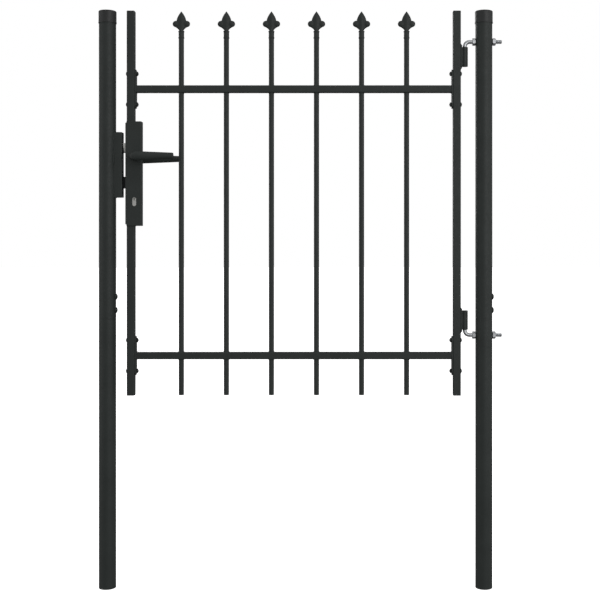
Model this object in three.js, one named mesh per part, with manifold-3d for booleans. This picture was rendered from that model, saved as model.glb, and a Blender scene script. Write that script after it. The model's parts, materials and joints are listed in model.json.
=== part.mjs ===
// Garden gate: two tubular posts, a barred leaf hung on two bolted hinges, and a lever lock with its keeper.
// Millimetres, +Z up. X runs from the latch post to the hinge post, Y from the street side to the garden side.
// The origin is on the ground, in the middle of the gate's own box.
import * as THREE from "three";
import { mergeVertices } from "three/addons/utils/BufferGeometryUtils.js";
import Module from "manifold-3d";

// ---- driving dimensions -----------------------------------------------------------------------------------

const SLIP = 0.3; // clearance between a piece and what slides or turns in it
const SEAT = 0.05; // clearance between two pieces that rest on each other
const PAST = 1; // how far a cutting shape runs past what it cuts
const LAP = 0.5; // how far two joined shapes of one piece run into each other

const POST_SPACING = 980; // between the two post axes
const POST_HEIGHT = 1500; // ground to cap top
const POST_DIA = 44;
const POST_WALL = 1.5;
const JOINT_RISE = 43; // lower hinge rod's axis to the joint line of a post's two tubes
const SPIGOT_LENGTH = 85; // reduced end of the lower tube, inside the upper one
const CAP_WALL = 1.2;
const CAP_SKIRT = 32;
const CAP_TOP = 3;
const CAP_EDGE = 1.5; // rounding of the cap's top edge
const JOINT_SCREW_DIA = 6;
const JOINT_SCREW_LENGTH = 12;
const JOINT_SCREW_HEAD_DIA = 16;
const JOINT_SCREW_HEAD = 4.2;
const JOINT_SCREW_RIM = 1.9; // height of the head's straight edge
const JOINT_SCREW_CROWN_DIA = 12;
const JOINT_SCREW_RISES = { low: 22, high: 57 }; // above the joint line

const LEAF_HEIGHT = 1000;
const STILE_SIZE = 20;
const STILE_WALL = 1.5;
const STILE_PLUG_TOP = 2; // visible head of a stile's end plug
const STILE_PLUG_DEPTH = 14;
const LATCH_GAP = 29.7; // latch post's surface to the latch stile
const RAIL_SIZE = 18.5;
const RAIL_WALL = 1.5;
const TOP_RAIL_DROP = 203; // leaf top to the top rail's axis
const BOTTOM_RAIL_RISE = 103.6; // leaf bottom to the bottom rail's axis
const END_PLATE_LENGTH = 102;
const END_PLATE_THICKNESS = 3.5;
const RAIL_BOLT_DIA = 6;
const RAIL_BOLT_OFFSET = 40; // rail axis to each of its bolts
const RAIL_BOLT_HEAD_DIA = 12.5;
const RAIL_BOLT_HEAD = 3.6;
const RAIL_NUT_FLATS = 10;
const RAIL_NUT_HEIGHT = 4.2;
const RAIL_BOLT_END = 1.3; // bolt's end beyond its nut

const PICKET_COUNT = 6;
const PICKET_SPACING = 117.3;
const PICKET_DIA = 13.6;
const PICKET_WALL = 1.2;
const PICKET_FOOT_RISE = 1; // leaf bottom to the pickets' lower ends

const COLLAR_HEIGHT = 19;
const COLLAR_RING = 2.8; // height of each of the collar's two rings
const COLLAR_RING_STEP = 1.1; // a ring's radius over the picket's
const COLLAR_WAIST_STEP = 0.3; // the collar's middle over the picket's radius
const SPEAR_HEIGHT = 51.7;
const SPEAR_NECK = 5.4; // half width where the spear leaves its collar
const SPEAR_LEAF = 12.4; // half width of the leaf above its lobes
const LOBE_RADIUS = 8.3;
const LOBE_OUT = 14.4; // picket axis to a lobe's centre
const LOBE_RISE = 18.7; // collar top to the lobes' centres
const SPEAR_THICKNESS = 9;
const LOBE_START = 243; // degrees from +X to where a lobe's arc leaves the neck
const LOBE_END = 453.6; // degrees from +X to where it meets the leaf
const SPEAR_NOTCH = 0.8; // lobe top to the leaf's shoulder
const SPEAR_FLARE = 3; // rise over which the neck widens
const SPEAR_BELLY = [10.7, 39.3]; // the point that the leaf's edge bends towards
const SPEAR_ROOT = 8; // thickness of the block under the neck
const SPEAR_BEVEL = 2;
const FINIAL_SPIGOT = 14; // depth of the finial's stub in the picket

const HINGE_GAP = 27.6; // hinge post's surface to the hinge axis
const HINGE_BOLT_DIA = 10;
const HINGE_BOLT_BEND = 12; // bend radius at the bolt's middle line
const HINGE_BOLT_LEG = 60; // rod axis to the end of the leg in the barrel
const HINGE_BOLT_TAIL = 24.5; // post surface to the threaded end
const HINGE_NUT_FLATS = 17;
const HINGE_NUT_HEIGHT = 8.4;
const TOP_HINGE_DROP = 80; // leaf top to the upper rod's axis
const BOTTOM_HINGE_RISE = 157; // leaf bottom to the lower rod's axis
const BARREL_DIA = 16;
const BARREL_LENGTH = 50;
const BARREL_SETBACK = 14; // rod axis to the nearer end of the barrel
const HINGE_PLATE_THICKNESS = 3;
const HINGE_PLATE_LENGTH = 64;
const HINGE_PLATE_TAPER = 2.5;
const BARREL_SEAM = 9; // width of the weld between barrel and plate
const BARREL_SEAM_DEPTH = 3;

const SPINDLE_DROP = 380.5; // leaf top to the spindle's axis
const BACKSET = 20.4; // stile's latch face to the spindle's axis
const SPINDLE_SIZE = 8;
const SPINDLE_REACH = 30; // middle plane to each end
const SPINDLE_ROOM = 1.34; // round the spindle's corners, in the sheets that it passes
const LOCK_BOX_WALL = 2.2;
const LOCK_BOX_TOP = 92.7; // spindle to the box's top
const LOCK_BOX_BOTTOM = 178.3; // spindle to the box's bottom
const FOREND_THICKNESS = 2.8;
const FOREND_INSET = 3.2; // box end to forend end
const FOREND_CORNER = 2.4;
const CASE_TOP = 46; // spindle to the lock case's top
const CASE_BOTTOM = 137; // spindle to the lock case's bottom
const CASE_WALL = 1.2;
const CASE_ROOM = 0.2; // beside the case in its stile, over the clearance
const HUB_RADIUS = 10;
const HUB_ROOM = 2.5; // the hub's spring to the case's end
const FOLLOWER_ARM_REACH = 7; // hub's surface to the arm's tip
const FOLLOWER_ARM_WIDTH = 6;
const FOLLOWER_ARM_THICKNESS = 4.4;
const FOLLOWER_LEAN = 35; // degrees that the arm leans towards the keeper at rest
const SPRING_WIRE = 1.2;
const SPRING_TURNS = 2.2;
const SPRING_PITCH = 1.38;
const SPRING_ROOM = 0.3; // hub to the wire, over the clearance
const THROW = 16; // both bolts' reach out of the forend at rest
const LATCH_HEIGHT = 25;
const LATCH_RISE = 24.2; // spindle to the latch bolt's middle
const LATCH_BEVEL = 9;
const LATCH_FLAT = 3; // thickness of the bevelled tip
const BOLT_OVERHANG = 1; // stile's latch face to the rear of both bolts' thick ends
const TAIL_THICKNESS = 5;
const LATCH_TAIL_HEIGHT = 9;
const HOOK_WIDTH = 3;
const HOOK_ROOM = 1.2; // the hub's spring to the hook under it
const ARM_ROOM = 1.5; // the arm's tip to the latch bolt's tail
const DEAD_BOLT_HEIGHT = 30.3;
const DEAD_BOLT_DROP = 65.8; // spindle to the dead bolt's middle
const DEAD_TAIL_INSET = 10; // top of the dead bolt to the top of its tail
const NOTCH_WIDTH = 9;
const NOTCH_LUG = 1.8;
const NOTCH_ROOM = 0.9; // the cam's finger to the notch
const CYLINDER_WIDTH = 9.6;
const CYLINDER_HEIGHT = 23;
const CYLINDER_DROP = 116; // spindle to the cylinder's middle
const CYLINDER_PROUD = 0.8; // how far it stands out of the lock box
const PLUG_RADIUS = 3.6;
const CAM_RADIUS = 6;
const CAM_THICKNESS = 7;
const CAM_ROOM = 2; // round the cam, in the housing
const CAM_FINGER = 14; // plug axis to the tip of the cam's finger
const CAM_FINGER_WIDTH = 3.2;
const CAM_LEAN = 45; // degrees that the finger leans towards the keeper at rest
const KEY_SLOT_WIDTH = 1.8;
const KEY_SLOT_HEIGHT = 5.8;
const KEY_SLOT_DEPTH = 8;

const NECK_RADIUS = 8.5;
const LEVER_OUT = 50.5; // middle plane to the grip's middle
const LEVER_THICKNESS = 14;
const LEVER_LENGTH = 107.6; // spindle axis to the grip's end
const LEVER_ROOT = 12; // half height of the grip at the neck
const LEVER_TIP = 8.1; // half height of the grip at its end
const LEVER_BEVEL = 4;
const LEVER_CORNER = 5.7; // rounding of the grip's end

const KEEPER_REACH = 18.3; // latch post's surface to the keeper's face
const KEEPER_ABOVE = 40.6; // latch bolt's middle to the keeper's top
const KEEPER_BELOW = 38.7; // dead bolt's middle to the keeper's bottom
const KEEPER_SLOT_MARGIN = 2.5; // a slot's edge round its bolt
const KEEPER_DEAD_SLOT_EXTRA = 12; // free height over the dead bolt
const KEEPER_SCREW_DIA = 4.8;
const KEEPER_SCREW_HEAD_DIA = 9;
const KEEPER_SCREW_HEAD = 1.6;
const KEEPER_SCREW_CROWN_DIA = 6.3;
const KEEPER_SCREW_GRIP = 4; // thread inside the post
const KEEPER_SCREW_INSET = 13;

// ---- sizes and places that follow from them ---------------------------------------------------------------

const postRadius = POST_DIA / 2;
const postBore = postRadius - POST_WALL;
const capRadius = postRadius + SLIP + CAP_WALL;
const boltTail = postRadius + HINGE_BOLT_TAIL;
const latchPostX = -(POST_SPACING + boltTail - capRadius) / 2;
const hingePostX = latchPostX + POST_SPACING;

const leafTop = POST_HEIGHT;
const leafBottom = leafTop - LEAF_HEIGHT;
const hingeReach = postRadius + HINGE_GAP;
const leafStart = latchPostX + postRadius + LATCH_GAP;
const leafEnd = hingePostX - hingeReach - BARREL_DIA / 2 - HINGE_PLATE_THICKNESS;
const leafWidth = leafEnd - leafStart;
const stileBore = STILE_SIZE / 2 - STILE_WALL;
const railHeights = { bottom: BOTTOM_RAIL_RISE, top: LEAF_HEIGHT - TOP_RAIL_DROP };
const hingeHeights = { bottom: leafBottom + BOTTOM_HINGE_RISE, top: leafTop - TOP_HINGE_DROP };
const jointHeight = hingeHeights.bottom + JOINT_RISE;

const picketRadius = PICKET_DIA / 2;
const collarFoot = LEAF_HEIGHT - SPEAR_HEIGHT - COLLAR_HEIGHT;

const spindleHeight = leafTop - SPINDLE_DROP;
const boxDepth = STILE_SIZE + 2 * SLIP + 2 * LOCK_BOX_WALL;
const springInside = HUB_RADIUS + SLIP + SPRING_ROOM;
const springOutside = springInside + SPRING_WIRE;
const caseEnd = springOutside + HUB_ROOM + CASE_WALL;
const boxEnd = caseEnd + SLIP + LOCK_BOX_WALL;
const boxBore = boxDepth / 2 - LOCK_BOX_WALL;
const caseThickness = 2 * (stileBore - SLIP - CASE_ROOM);
const caseBore = caseThickness / 2 - CASE_WALL;
const forendBack = -BACKSET - SEAT;
const forendFace = forendBack - FOREND_THICKNESS;
const boltTip = forendFace - THROW;
const boltThickness = 2 * (caseBore - 2 * SLIP);
const boltRear = BOLT_OVERHANG - BACKSET;
const spindleHole = SPINDLE_SIZE * Math.SQRT1_2 + SPINDLE_ROOM;
const springFoot = caseBore - SLIP - SPRING_WIRE - SPRING_TURNS * SPRING_PITCH;
const armLength = HUB_RADIUS + FOLLOWER_ARM_REACH;
const plugRise = (CYLINDER_HEIGHT - CYLINDER_WIDTH) / 2;
const plugDrop = CYLINDER_DROP - plugRise;
const cylinderReach = boxDepth / 2 + CYLINDER_PROUD;
const keeperFace = postRadius + KEEPER_REACH;

// ---- solids -----------------------------------------------------------------------------------------------

const wasm = await Module();
wasm.setup();

const POST_SIDES = 24;
const ROD_SIDES = 12;
const BOLT_SIDES = 8;
const WELD_DISTANCE = 1e-4; // vertices nearer than this are one vertex
const ROUND_MIDDLE = 1 - Math.SQRT1_2; // a rounded corner's middle, as a share of its radius
const { degToRad } = THREE.MathUtils;

// A closed geometry as a manifold-3d solid.
function solidOf(geometry) {
  const bare = geometry.clone();
  bare.deleteAttribute("normal");
  bare.deleteAttribute("uv");
  const merged = mergeVertices(bare, WELD_DISTANCE);
  const corners = [];
  for (let i = 0; i < merged.index.count; i += 3) {
    const [a, b, c] = [0, 1, 2].map((k) => merged.index.getX(i + k));
    if (a !== b && b !== c && c !== a) corners.push(a, b, c);
  }
  const vertProperties = new Float32Array(merged.attributes.position.array);
  return new wasm.Manifold(new wasm.Mesh({ numProp: 3, vertProperties, triVerts: new Uint32Array(corners) }));
}

// A manifold-3d solid as a geometry.
function geometryOf(solid) {
  const mesh = solid.getMesh();
  const geometry = new THREE.BufferGeometry();
  geometry.setAttribute("position", new THREE.BufferAttribute(mesh.vertProperties, 3));
  geometry.setIndex(new THREE.BufferAttribute(mesh.triVerts, 1));
  return geometry;
}

function join(...geometries) {
  return geometryOf(geometries.map(solidOf).reduce((whole, piece) => whole.add(piece)));
}

function cut(geometry, ...tools) {
  return geometryOf(tools.map(solidOf).reduce((whole, tool) => whole.subtract(tool), solidOf(geometry)));
}

// A box between two limits on each axis.
function block([x0, x1], [y0, y1], [z0, z1]) {
  const box = new THREE.BoxGeometry(x1 - x0, y1 - y0, z1 - z0);
  return box.translate((x0 + x1) / 2, (y0 + y1) / 2, (z0 + z1) / 2);
}

// Turns a geometry made along +Z so that it points along another axis.
function pointed(geometry, axis) {
  if (axis === "x") return geometry.rotateY(Math.PI / 2);
  if (axis === "y") return geometry.rotateX(-Math.PI / 2);
  return geometry;
}

// A round bar along an axis, from one distance along it to another.
function rod(radius, [from, to], axis = "z", sides = BOLT_SIDES) {
  const bar = new THREE.CylinderGeometry(radius, radius, to - from, sides);
  bar.rotateX(Math.PI / 2).translate(0, 0, (from + to) / 2);
  return pointed(bar, axis);
}

// A turned solid about an axis, from [radius, distance] points that run up its outside.
function turned(points, axis = "z", sides = ROD_SIDES) {
  const profile = points.map(([radius, along]) => new THREE.Vector2(radius, along));
  return pointed(new THREE.LatheGeometry(profile, sides).rotateX(Math.PI / 2), axis);
}

// A round tube along +Z with square ends.
function tube(outer, bore, [from, to], sides = ROD_SIDES) {
  return turned([[bore, from], [outer, from], [outer, to], [bore, to], [bore, from]], "z", sides);
}

// A flat shape in X and Z, given its thickness along Y and centred on the middle plane.
function slab(shape, thickness, options = {}) {
  const flat = new THREE.ExtrudeGeometry(shape, { depth: thickness, bevelEnabled: false, ...options });
  flat.computeBoundingBox();
  const middle = (flat.boundingBox.min.z + flat.boundingBox.max.z) / 2;
  return flat.translate(0, 0, -middle).rotateX(Math.PI / 2);
}

// The options that cut a slab's edges back inside its shape.
function chamfer(size) {
  return { bevelEnabled: true, bevelThickness: size, bevelSize: size, bevelOffset: -size, bevelSegments: 1 };
}

// A shape with straight sides through the points given.
function outline(points) {
  return new THREE.Shape(points.map(([a, b]) => new THREE.Vector2(a, b)));
}

// A long shape with round ends, upright and centred.
function roundEnded(width, height) {
  const radius = width / 2;
  const shape = new THREE.Shape();
  shape.absarc(0, height / 2 - radius, radius, 0, Math.PI);
  shape.absarc(0, radius - height / 2, radius, Math.PI, 2 * Math.PI);
  return shape;
}

// A square tube along +Z.
function squareTube(size, wall, [from, to]) {
  const half = size / 2;
  const bore = half - wall;
  const shell = block([-half, half], [-half, half], [from, to]);
  return cut(shell, block([-bore, bore], [-bore, bore], [from - wall, to + wall]));
}

// The corners of a rounded edge, from its low outer end to its high inner end, for a turned profile.
function roundedEdge(radius, top, rounding) {
  const inset = rounding * ROUND_MIDDLE;
  return [[radius, top - rounding], [radius - inset, top - inset], [radius - rounding, top]];
}

// A hexagonal prism along an axis.
function hexagon(flats, [from, to], axis) {
  return rod(flats / Math.sqrt(3), [from, to], axis, 6);
}

// ---- materials --------------------------------------------------------------------------------------------

const powderCoat = new THREE.MeshStandardMaterial({ color: 0x2e3132, roughness: 0.55, metalness: 0.2 });
const blackPlastic = new THREE.MeshStandardMaterial({ color: 0x1f2021, roughness: 0.5, metalness: 0 });
const zinc = new THREE.MeshStandardMaterial({ color: 0xc2c5c7, roughness: 0.38, metalness: 0.9 });
const nickel = new THREE.MeshStandardMaterial({ color: 0xa5a6a3, roughness: 0.3, metalness: 0.95 });
const blackSteel = new THREE.MeshStandardMaterial({ color: 0x151617, roughness: 0.45, metalness: 0.6 });

// Adds a named mesh to a group, at a place in it.
function place(group, name, geometry, material, [x, y, z] = [0, 0, 0]) {
  const mesh = new THREE.Mesh(geometry, material);
  mesh.name = name;
  mesh.position.set(x, y, z);
  group.add(mesh);
}

// ---- posts ------------------------------------------------------------------------------------------------

// The lower tube, with the reduced end that the upper one slides over.
function postFoot() {
  const spigot = postBore - SLIP;
  const neck = jointHeight - SEAT;
  const profile = [
    [postBore, 0],
    [postRadius, 0],
    [postRadius, neck],
    [spigot, neck],
    [spigot, neck + SPIGOT_LENGTH],
    [spigot - POST_WALL, neck + SPIGOT_LENGTH],
    [spigot - POST_WALL, neck - 2 * POST_WALL],
    [postBore, neck - 4 * POST_WALL],
    [postBore, 0],
  ];
  return turned(profile, "z", POST_SIDES);
}

function postCap() {
  const bore = postRadius + SLIP;
  const ceiling = POST_HEIGHT - CAP_TOP;
  const profile = [
    [0, ceiling],
    [bore, ceiling],
    [bore, POST_HEIGHT - CAP_SKIRT],
    [capRadius, POST_HEIGHT - CAP_SKIRT],
    ...roundedEdge(capRadius, POST_HEIGHT, CAP_EDGE),
    [0, POST_HEIGHT],
  ];
  return turned(profile, "z", POST_SIDES);
}

// A screw that pins the two tubes together from the +X side.
function jointScrew() {
  const seat = postRadius + SEAT;
  const radius = JOINT_SCREW_DIA / 2;
  const head = JOINT_SCREW_HEAD_DIA / 2;
  const profile = [
    [0, seat - JOINT_SCREW_LENGTH],
    [radius, seat - JOINT_SCREW_LENGTH],
    [radius, seat],
    [head, seat],
    [head, seat + JOINT_SCREW_RIM],
    [JOINT_SCREW_CROWN_DIA / 2, seat + JOINT_SCREW_HEAD],
    [0, seat + JOINT_SCREW_HEAD],
  ];
  return turned(profile, "x", ROD_SIDES);
}

const screwHeights = Object.values(JOINT_SCREW_RISES).map((rise) => jointHeight + rise);

// One post: rodHeights are where hinge rods cross it, keeperHeights where keeper screws enter it.
function makePost(name, rodHeights, keeperHeights) {
  const post = new THREE.Group();
  const across = [-postRadius - PAST, postRadius + PAST];
  const outwards = [0, postRadius + PAST];
  const screwHoles = screwHeights.map((z) => rod(JOINT_SCREW_DIA / 2 + SLIP, outwards, "x").translate(0, 0, z));
  const rodHoles = rodHeights.map((z) =>
    rod(HINGE_BOLT_DIA / 2 + SLIP, across, "x", ROD_SIDES).translate(0, 0, z));
  const keeperHoles = keeperHeights.map((z) =>
    rod(KEEPER_SCREW_DIA / 2 + SLIP, outwards, "x").translate(0, 0, z));
  const holes = [...screwHoles, ...rodHoles, ...keeperHoles];
  const upper = tube(postRadius, postBore, [jointHeight, POST_HEIGHT - CAP_TOP - SEAT], POST_SIDES);
  place(post, `${name}_lower_tube`, cut(postFoot(), ...holes), powderCoat);
  place(post, `${name}_upper_tube`, cut(upper, ...holes), powderCoat);
  place(post, `${name}_cap`, geometryOf(solidOf(postCap())), blackPlastic);
  for (const [key, rise] of Object.entries(JOINT_SCREW_RISES)) {
    const height = jointHeight + rise;
    place(post, `${name}_screw_${key}`, geometryOf(solidOf(jointScrew())), powderCoat, [0, 0, height]);
  }
  return post;
}

// ---- keeper -----------------------------------------------------------------------------------------------

const keeperTop = spindleHeight + LATCH_RISE + KEEPER_ABOVE;
const keeperBottom = spindleHeight - DEAD_BOLT_DROP - KEEPER_BELOW;
const keeperScrewHeights = {
  top: keeperTop - KEEPER_SCREW_INSET,
  bottom: keeperBottom + KEEPER_SCREW_INSET,
};

// A bent steel channel that reaches from the post to the keeper's slotted face.
function keeperChannel() {
  const half = boxDepth / 2;
  const wall = LOCK_BOX_WALL;
  const inside = keeperFace - wall;
  const latch = spindleHeight + LATCH_RISE;
  const dead = spindleHeight - DEAD_BOLT_DROP;
  const latchReach = LATCH_HEIGHT / 2 + KEEPER_SLOT_MARGIN;
  const deadReach = DEAD_BOLT_HEIGHT / 2 + KEEPER_SLOT_MARGIN;
  const slot = [-boltThickness / 2 - KEEPER_SLOT_MARGIN, boltThickness / 2 + KEEPER_SLOT_MARGIN];
  const through = [inside - PAST, keeperFace + PAST];
  const channel = cut(
    block([0, keeperFace], [-half, half], [keeperBottom, keeperTop]),
    block([-PAST, inside], [wall - half, half - wall], [keeperBottom + wall, keeperTop - wall]),
    rod(postRadius + SLIP, [keeperBottom - PAST, keeperTop + PAST], "z", POST_SIDES),
    block(through, slot, [latch - latchReach, latch + latchReach]),
    block(through, slot, [dead - deadReach, dead + deadReach + KEEPER_DEAD_SLOT_EXTRA]),
  );
  const screwHoles = Object.values(keeperScrewHeights).map((z) =>
    rod(KEEPER_SCREW_DIA / 2 + SLIP, through, "x").translate(0, 0, z));
  return cut(channel, ...screwHoles);
}

// A long screw through the keeper's face into the post.
function keeperScrew() {
  const seat = keeperFace + SEAT;
  const radius = KEEPER_SCREW_DIA / 2;
  const head = KEEPER_SCREW_HEAD_DIA / 2;
  const tip = postBore - KEEPER_SCREW_GRIP;
  const top = seat + KEEPER_SCREW_HEAD;
  const crown = KEEPER_SCREW_CROWN_DIA / 2;
  const profile = [[0, tip], [radius, tip], [radius, seat], [head, seat], [crown, top], [0, top]];
  return turned(profile, "x", BOLT_SIDES);
}

// ---- hinges -----------------------------------------------------------------------------------------------

// The bolt through the post, bent so that its leg stands on the hinge axis: side is -1 for a leg that hangs down.
function hingeBolt(side) {
  const bend = HINGE_BOLT_BEND;
  const path = new THREE.CurvePath();
  const corner = new THREE.Vector3(-hingeReach, 0, 0);
  const entry = new THREE.Vector3(-hingeReach + bend, 0, 0);
  const exit = new THREE.Vector3(-hingeReach, 0, side * bend);
  path.add(new THREE.LineCurve3(new THREE.Vector3(boltTail, 0, 0), entry));
  path.add(new THREE.QuadraticBezierCurve3(entry, corner, exit));
  path.add(new THREE.LineCurve3(exit, new THREE.Vector3(-hingeReach, 0, side * HINGE_BOLT_LEG)));
  const section = new THREE.Shape().absarc(0, 0, HINGE_BOLT_DIA / 2, 0, 2 * Math.PI);
  return new THREE.ExtrudeGeometry(section, { steps: 28, curveSegments: 4, extrudePath: path });
}

function hingeNut(from) {
  const span = [from, from + HINGE_NUT_HEIGHT];
  const bore = rod(HINGE_BOLT_DIA / 2 + SLIP, [from - PAST, from + HINGE_NUT_HEIGHT + PAST], "x", ROD_SIDES);
  return cut(hexagon(HINGE_NUT_FLATS, span, "x"), bore);
}

// The barrel welded on its plate, about the hinge axis: side is -1 where the barrel hangs below the rod.
function hingeBarrel(side) {
  const near = side * BARREL_SETBACK;
  const far = side * (BARREL_SETBACK + BARREL_LENGTH);
  const [low, high] = [Math.min(near, far), Math.max(near, far)];
  const middle = (near + far) / 2;
  const back = -BARREL_DIA / 2 - HINGE_PLATE_THICKNESS + SEAT;
  const front = -BARREL_DIA / 2;
  const reach = HINGE_PLATE_LENGTH / 2;
  const plate = outline([
    [back, middle - reach],
    [front, middle - reach + HINGE_PLATE_TAPER],
    [front, middle + reach - HINGE_PLATE_TAPER],
    [back, middle + reach],
  ]);
  const seamWidth = [-BARREL_SEAM / 2, BARREL_SEAM / 2];
  const seam = block([front - LAP, front + BARREL_SEAM_DEPTH], seamWidth, [low, high]);
  const body = join(slab(plate, STILE_SIZE), rod(BARREL_DIA / 2, [low, high], "z", ROD_SIDES), seam);
  return cut(body, rod(HINGE_BOLT_DIA / 2 + SLIP, [low - PAST, high + PAST], "z", ROD_SIDES));
}

// ---- leaf -------------------------------------------------------------------------------------------------

// An end plug: a square head that covers the tube's end, and a stub inside it. side is -1 for a bottom plug.
function stilePlug(side) {
  const half = STILE_SIZE / 2;
  const stub = stileBore - SLIP;
  const head = [0, side * STILE_PLUG_TOP].sort((a, b) => a - b);
  const inside = [side * LAP, -side * STILE_PLUG_DEPTH].sort((a, b) => a - b);
  return join(block([-half, half], [-half, half], head), block([-stub, stub], [-stub, stub], inside));
}

const stileSpan = [STILE_PLUG_TOP + SEAT, LEAF_HEIGHT - STILE_PLUG_TOP - SEAT];
const railBoltHeights = Object.values(railHeights).flatMap((z) =>
  [z - RAIL_BOLT_OFFSET, z + RAIL_BOLT_OFFSET]);

function stileBoltHoles() {
  const across = [-STILE_SIZE, STILE_SIZE];
  return railBoltHeights.map((z) => rod(RAIL_BOLT_DIA / 2 + SLIP, across, "x").translate(0, 0, z));
}

// A rail: a square tube between two upright end plates that bolt to the stiles, with holes for the pickets.
function makeRail(picketPlaces) {
  const half = RAIL_SIZE / 2;
  const start = STILE_SIZE + SEAT;
  const end = leafWidth - STILE_SIZE - SEAT;
  const length = end - start - 2 * END_PLATE_THICKNESS;
  const bar = pointed(squareTube(RAIL_SIZE, RAIL_WALL, [-LAP, length + LAP]), "x");
  bar.translate(start + END_PLATE_THICKNESS, 0, 0);
  const plate = () => {
    const shape = roundEnded(STILE_SIZE, END_PLATE_LENGTH);
    const options = { depth: END_PLATE_THICKNESS, bevelEnabled: false, curveSegments: 4 };
    return new THREE.ExtrudeGeometry(shape, options).rotateX(Math.PI / 2).rotateZ(Math.PI / 2);
  };
  const farPlate = plate().translate(end - END_PLATE_THICKNESS, 0, 0);
  const body = join(bar, plate().translate(start, 0, 0), farPlate);
  const picketHoles = picketPlaces.map((x) =>
    rod(picketRadius + SLIP, [-half - PAST, half + PAST], "z", ROD_SIDES).translate(x, 0, 0));
  const boltHoles = [-RAIL_BOLT_OFFSET, RAIL_BOLT_OFFSET].map((z) =>
    rod(RAIL_BOLT_DIA / 2 + SLIP, [0, leafWidth], "x").translate(0, 0, z));
  return cut(body, ...picketHoles, ...boltHoles);
}

// A carriage bolt and its nut, drawn up tight: its head is at the origin and it runs along +X.
function railBolt() {
  const grip = STILE_SIZE + SEAT + END_PLATE_THICKNESS + SEAT;
  const radius = RAIL_BOLT_DIA / 2;
  const head = RAIL_BOLT_HEAD_DIA / 2;
  const end = grip + RAIL_NUT_HEIGHT + RAIL_BOLT_END;
  const dome = [90, 60, 30, 0].map(degToRad).map((angle) =>
    [head * Math.cos(angle), -SEAT - RAIL_BOLT_HEAD * Math.sin(angle)]);
  dome[0][0] = 0;
  const profile = [...dome, [radius, -SEAT], [radius, end], [0, end]];
  const nut = hexagon(RAIL_NUT_FLATS, [grip, grip + RAIL_NUT_HEIGHT], "x");
  return join(turned(profile, "x", BOLT_SIDES), nut);
}

// Half of the spear's outline is drawn, then its mirror image.
function spearShape() {
  const shape = new THREE.Shape();
  const low = degToRad(LOBE_START);
  const high = degToRad(LOBE_END);
  const lobeFoot = [LOBE_OUT + LOBE_RADIUS * Math.cos(low), LOBE_RISE + LOBE_RADIUS * Math.sin(low)];
  const shoulder = LOBE_RISE + LOBE_RADIUS + SPEAR_NOTCH;
  const [bellyOut, bellyRise] = SPEAR_BELLY;
  shape.moveTo(-SPEAR_NECK, 0);
  shape.lineTo(SPEAR_NECK, 0);
  shape.quadraticCurveTo(SPEAR_NECK, SPEAR_FLARE, ...lobeFoot);
  shape.absarc(LOBE_OUT, LOBE_RISE, LOBE_RADIUS, low, high, false);
  shape.lineTo(SPEAR_LEAF, shoulder);
  shape.quadraticCurveTo(bellyOut, bellyRise, 0, SPEAR_HEIGHT);
  shape.quadraticCurveTo(-bellyOut, bellyRise, -SPEAR_LEAF, shoulder);
  shape.absarc(-LOBE_OUT, LOBE_RISE, LOBE_RADIUS, 3 * Math.PI - high, 3 * Math.PI - low, false);
  shape.quadraticCurveTo(-SPEAR_NECK, SPEAR_FLARE, -SPEAR_NECK, 0);
  return shape;
}

// A cast spear finial: its collar stands on the picket's end, with a stub inside the picket.
function makeFinial() {
  const ring = picketRadius + COLLAR_RING_STEP;
  const waist = picketRadius + COLLAR_WAIST_STEP;
  const stub = picketRadius - PICKET_WALL - SLIP;
  const top = COLLAR_HEIGHT;
  const profile = [
    [0, -FINIAL_SPIGOT],
    [stub, -FINIAL_SPIGOT],
    [stub, 0],
    [ring, 0],
    [ring, COLLAR_RING],
    [waist, COLLAR_RING + LAP],
    [waist, top - COLLAR_RING - LAP],
    [ring, top - COLLAR_RING],
    [ring, top],
    [0, top],
  ];
  const thickness = SPEAR_THICKNESS - 2 * SPEAR_BEVEL;
  const spear = slab(spearShape(), thickness, { ...chamfer(SPEAR_BEVEL), curveSegments: 3 });
  const rootWidth = SPEAR_NECK - LAP;
  const rootHalf = SPEAR_ROOT / 2;
  const root = block([-rootWidth, rootWidth], [-rootHalf, rootHalf], [top - LAP, top + rootHalf]);
  return join(turned(profile), spear.translate(0, 0, top), root);
}

// ---- lock: its origin is where the spindle's axis crosses the middle plane --------------------------------

const throughLock = [-boxDepth, boxDepth];

function cylinderHole() {
  const shape = roundEnded(CYLINDER_WIDTH + 2 * SLIP, CYLINDER_HEIGHT + 2 * SLIP);
  return slab(shape, 2 * boxDepth, { curveSegments: 3 }).translate(0, 0, -CYLINDER_DROP);
}

function spindleClearance() {
  return rod(spindleHole, throughLock, "y", ROD_SIDES);
}

// The welded box round the stile, open towards the keeper.
function lockBox() {
  const half = boxDepth / 2;
  const wall = LOCK_BOX_WALL;
  const past = -BACKSET - PAST;
  const stileEnd = STILE_SIZE - BACKSET + SLIP;
  return cut(
    block([-BACKSET, boxEnd], [-half, half], [-LOCK_BOX_BOTTOM, LOCK_BOX_TOP]),
    block([past, boxEnd - wall], [-boxBore, boxBore], [wall - LOCK_BOX_BOTTOM, LOCK_BOX_TOP - wall]),
    block([past, stileEnd], [-boxBore, boxBore], [-LOCK_BOX_BOTTOM - PAST, LOCK_BOX_TOP + PAST]),
    spindleClearance(),
    cylinderHole(),
  );
}

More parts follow.
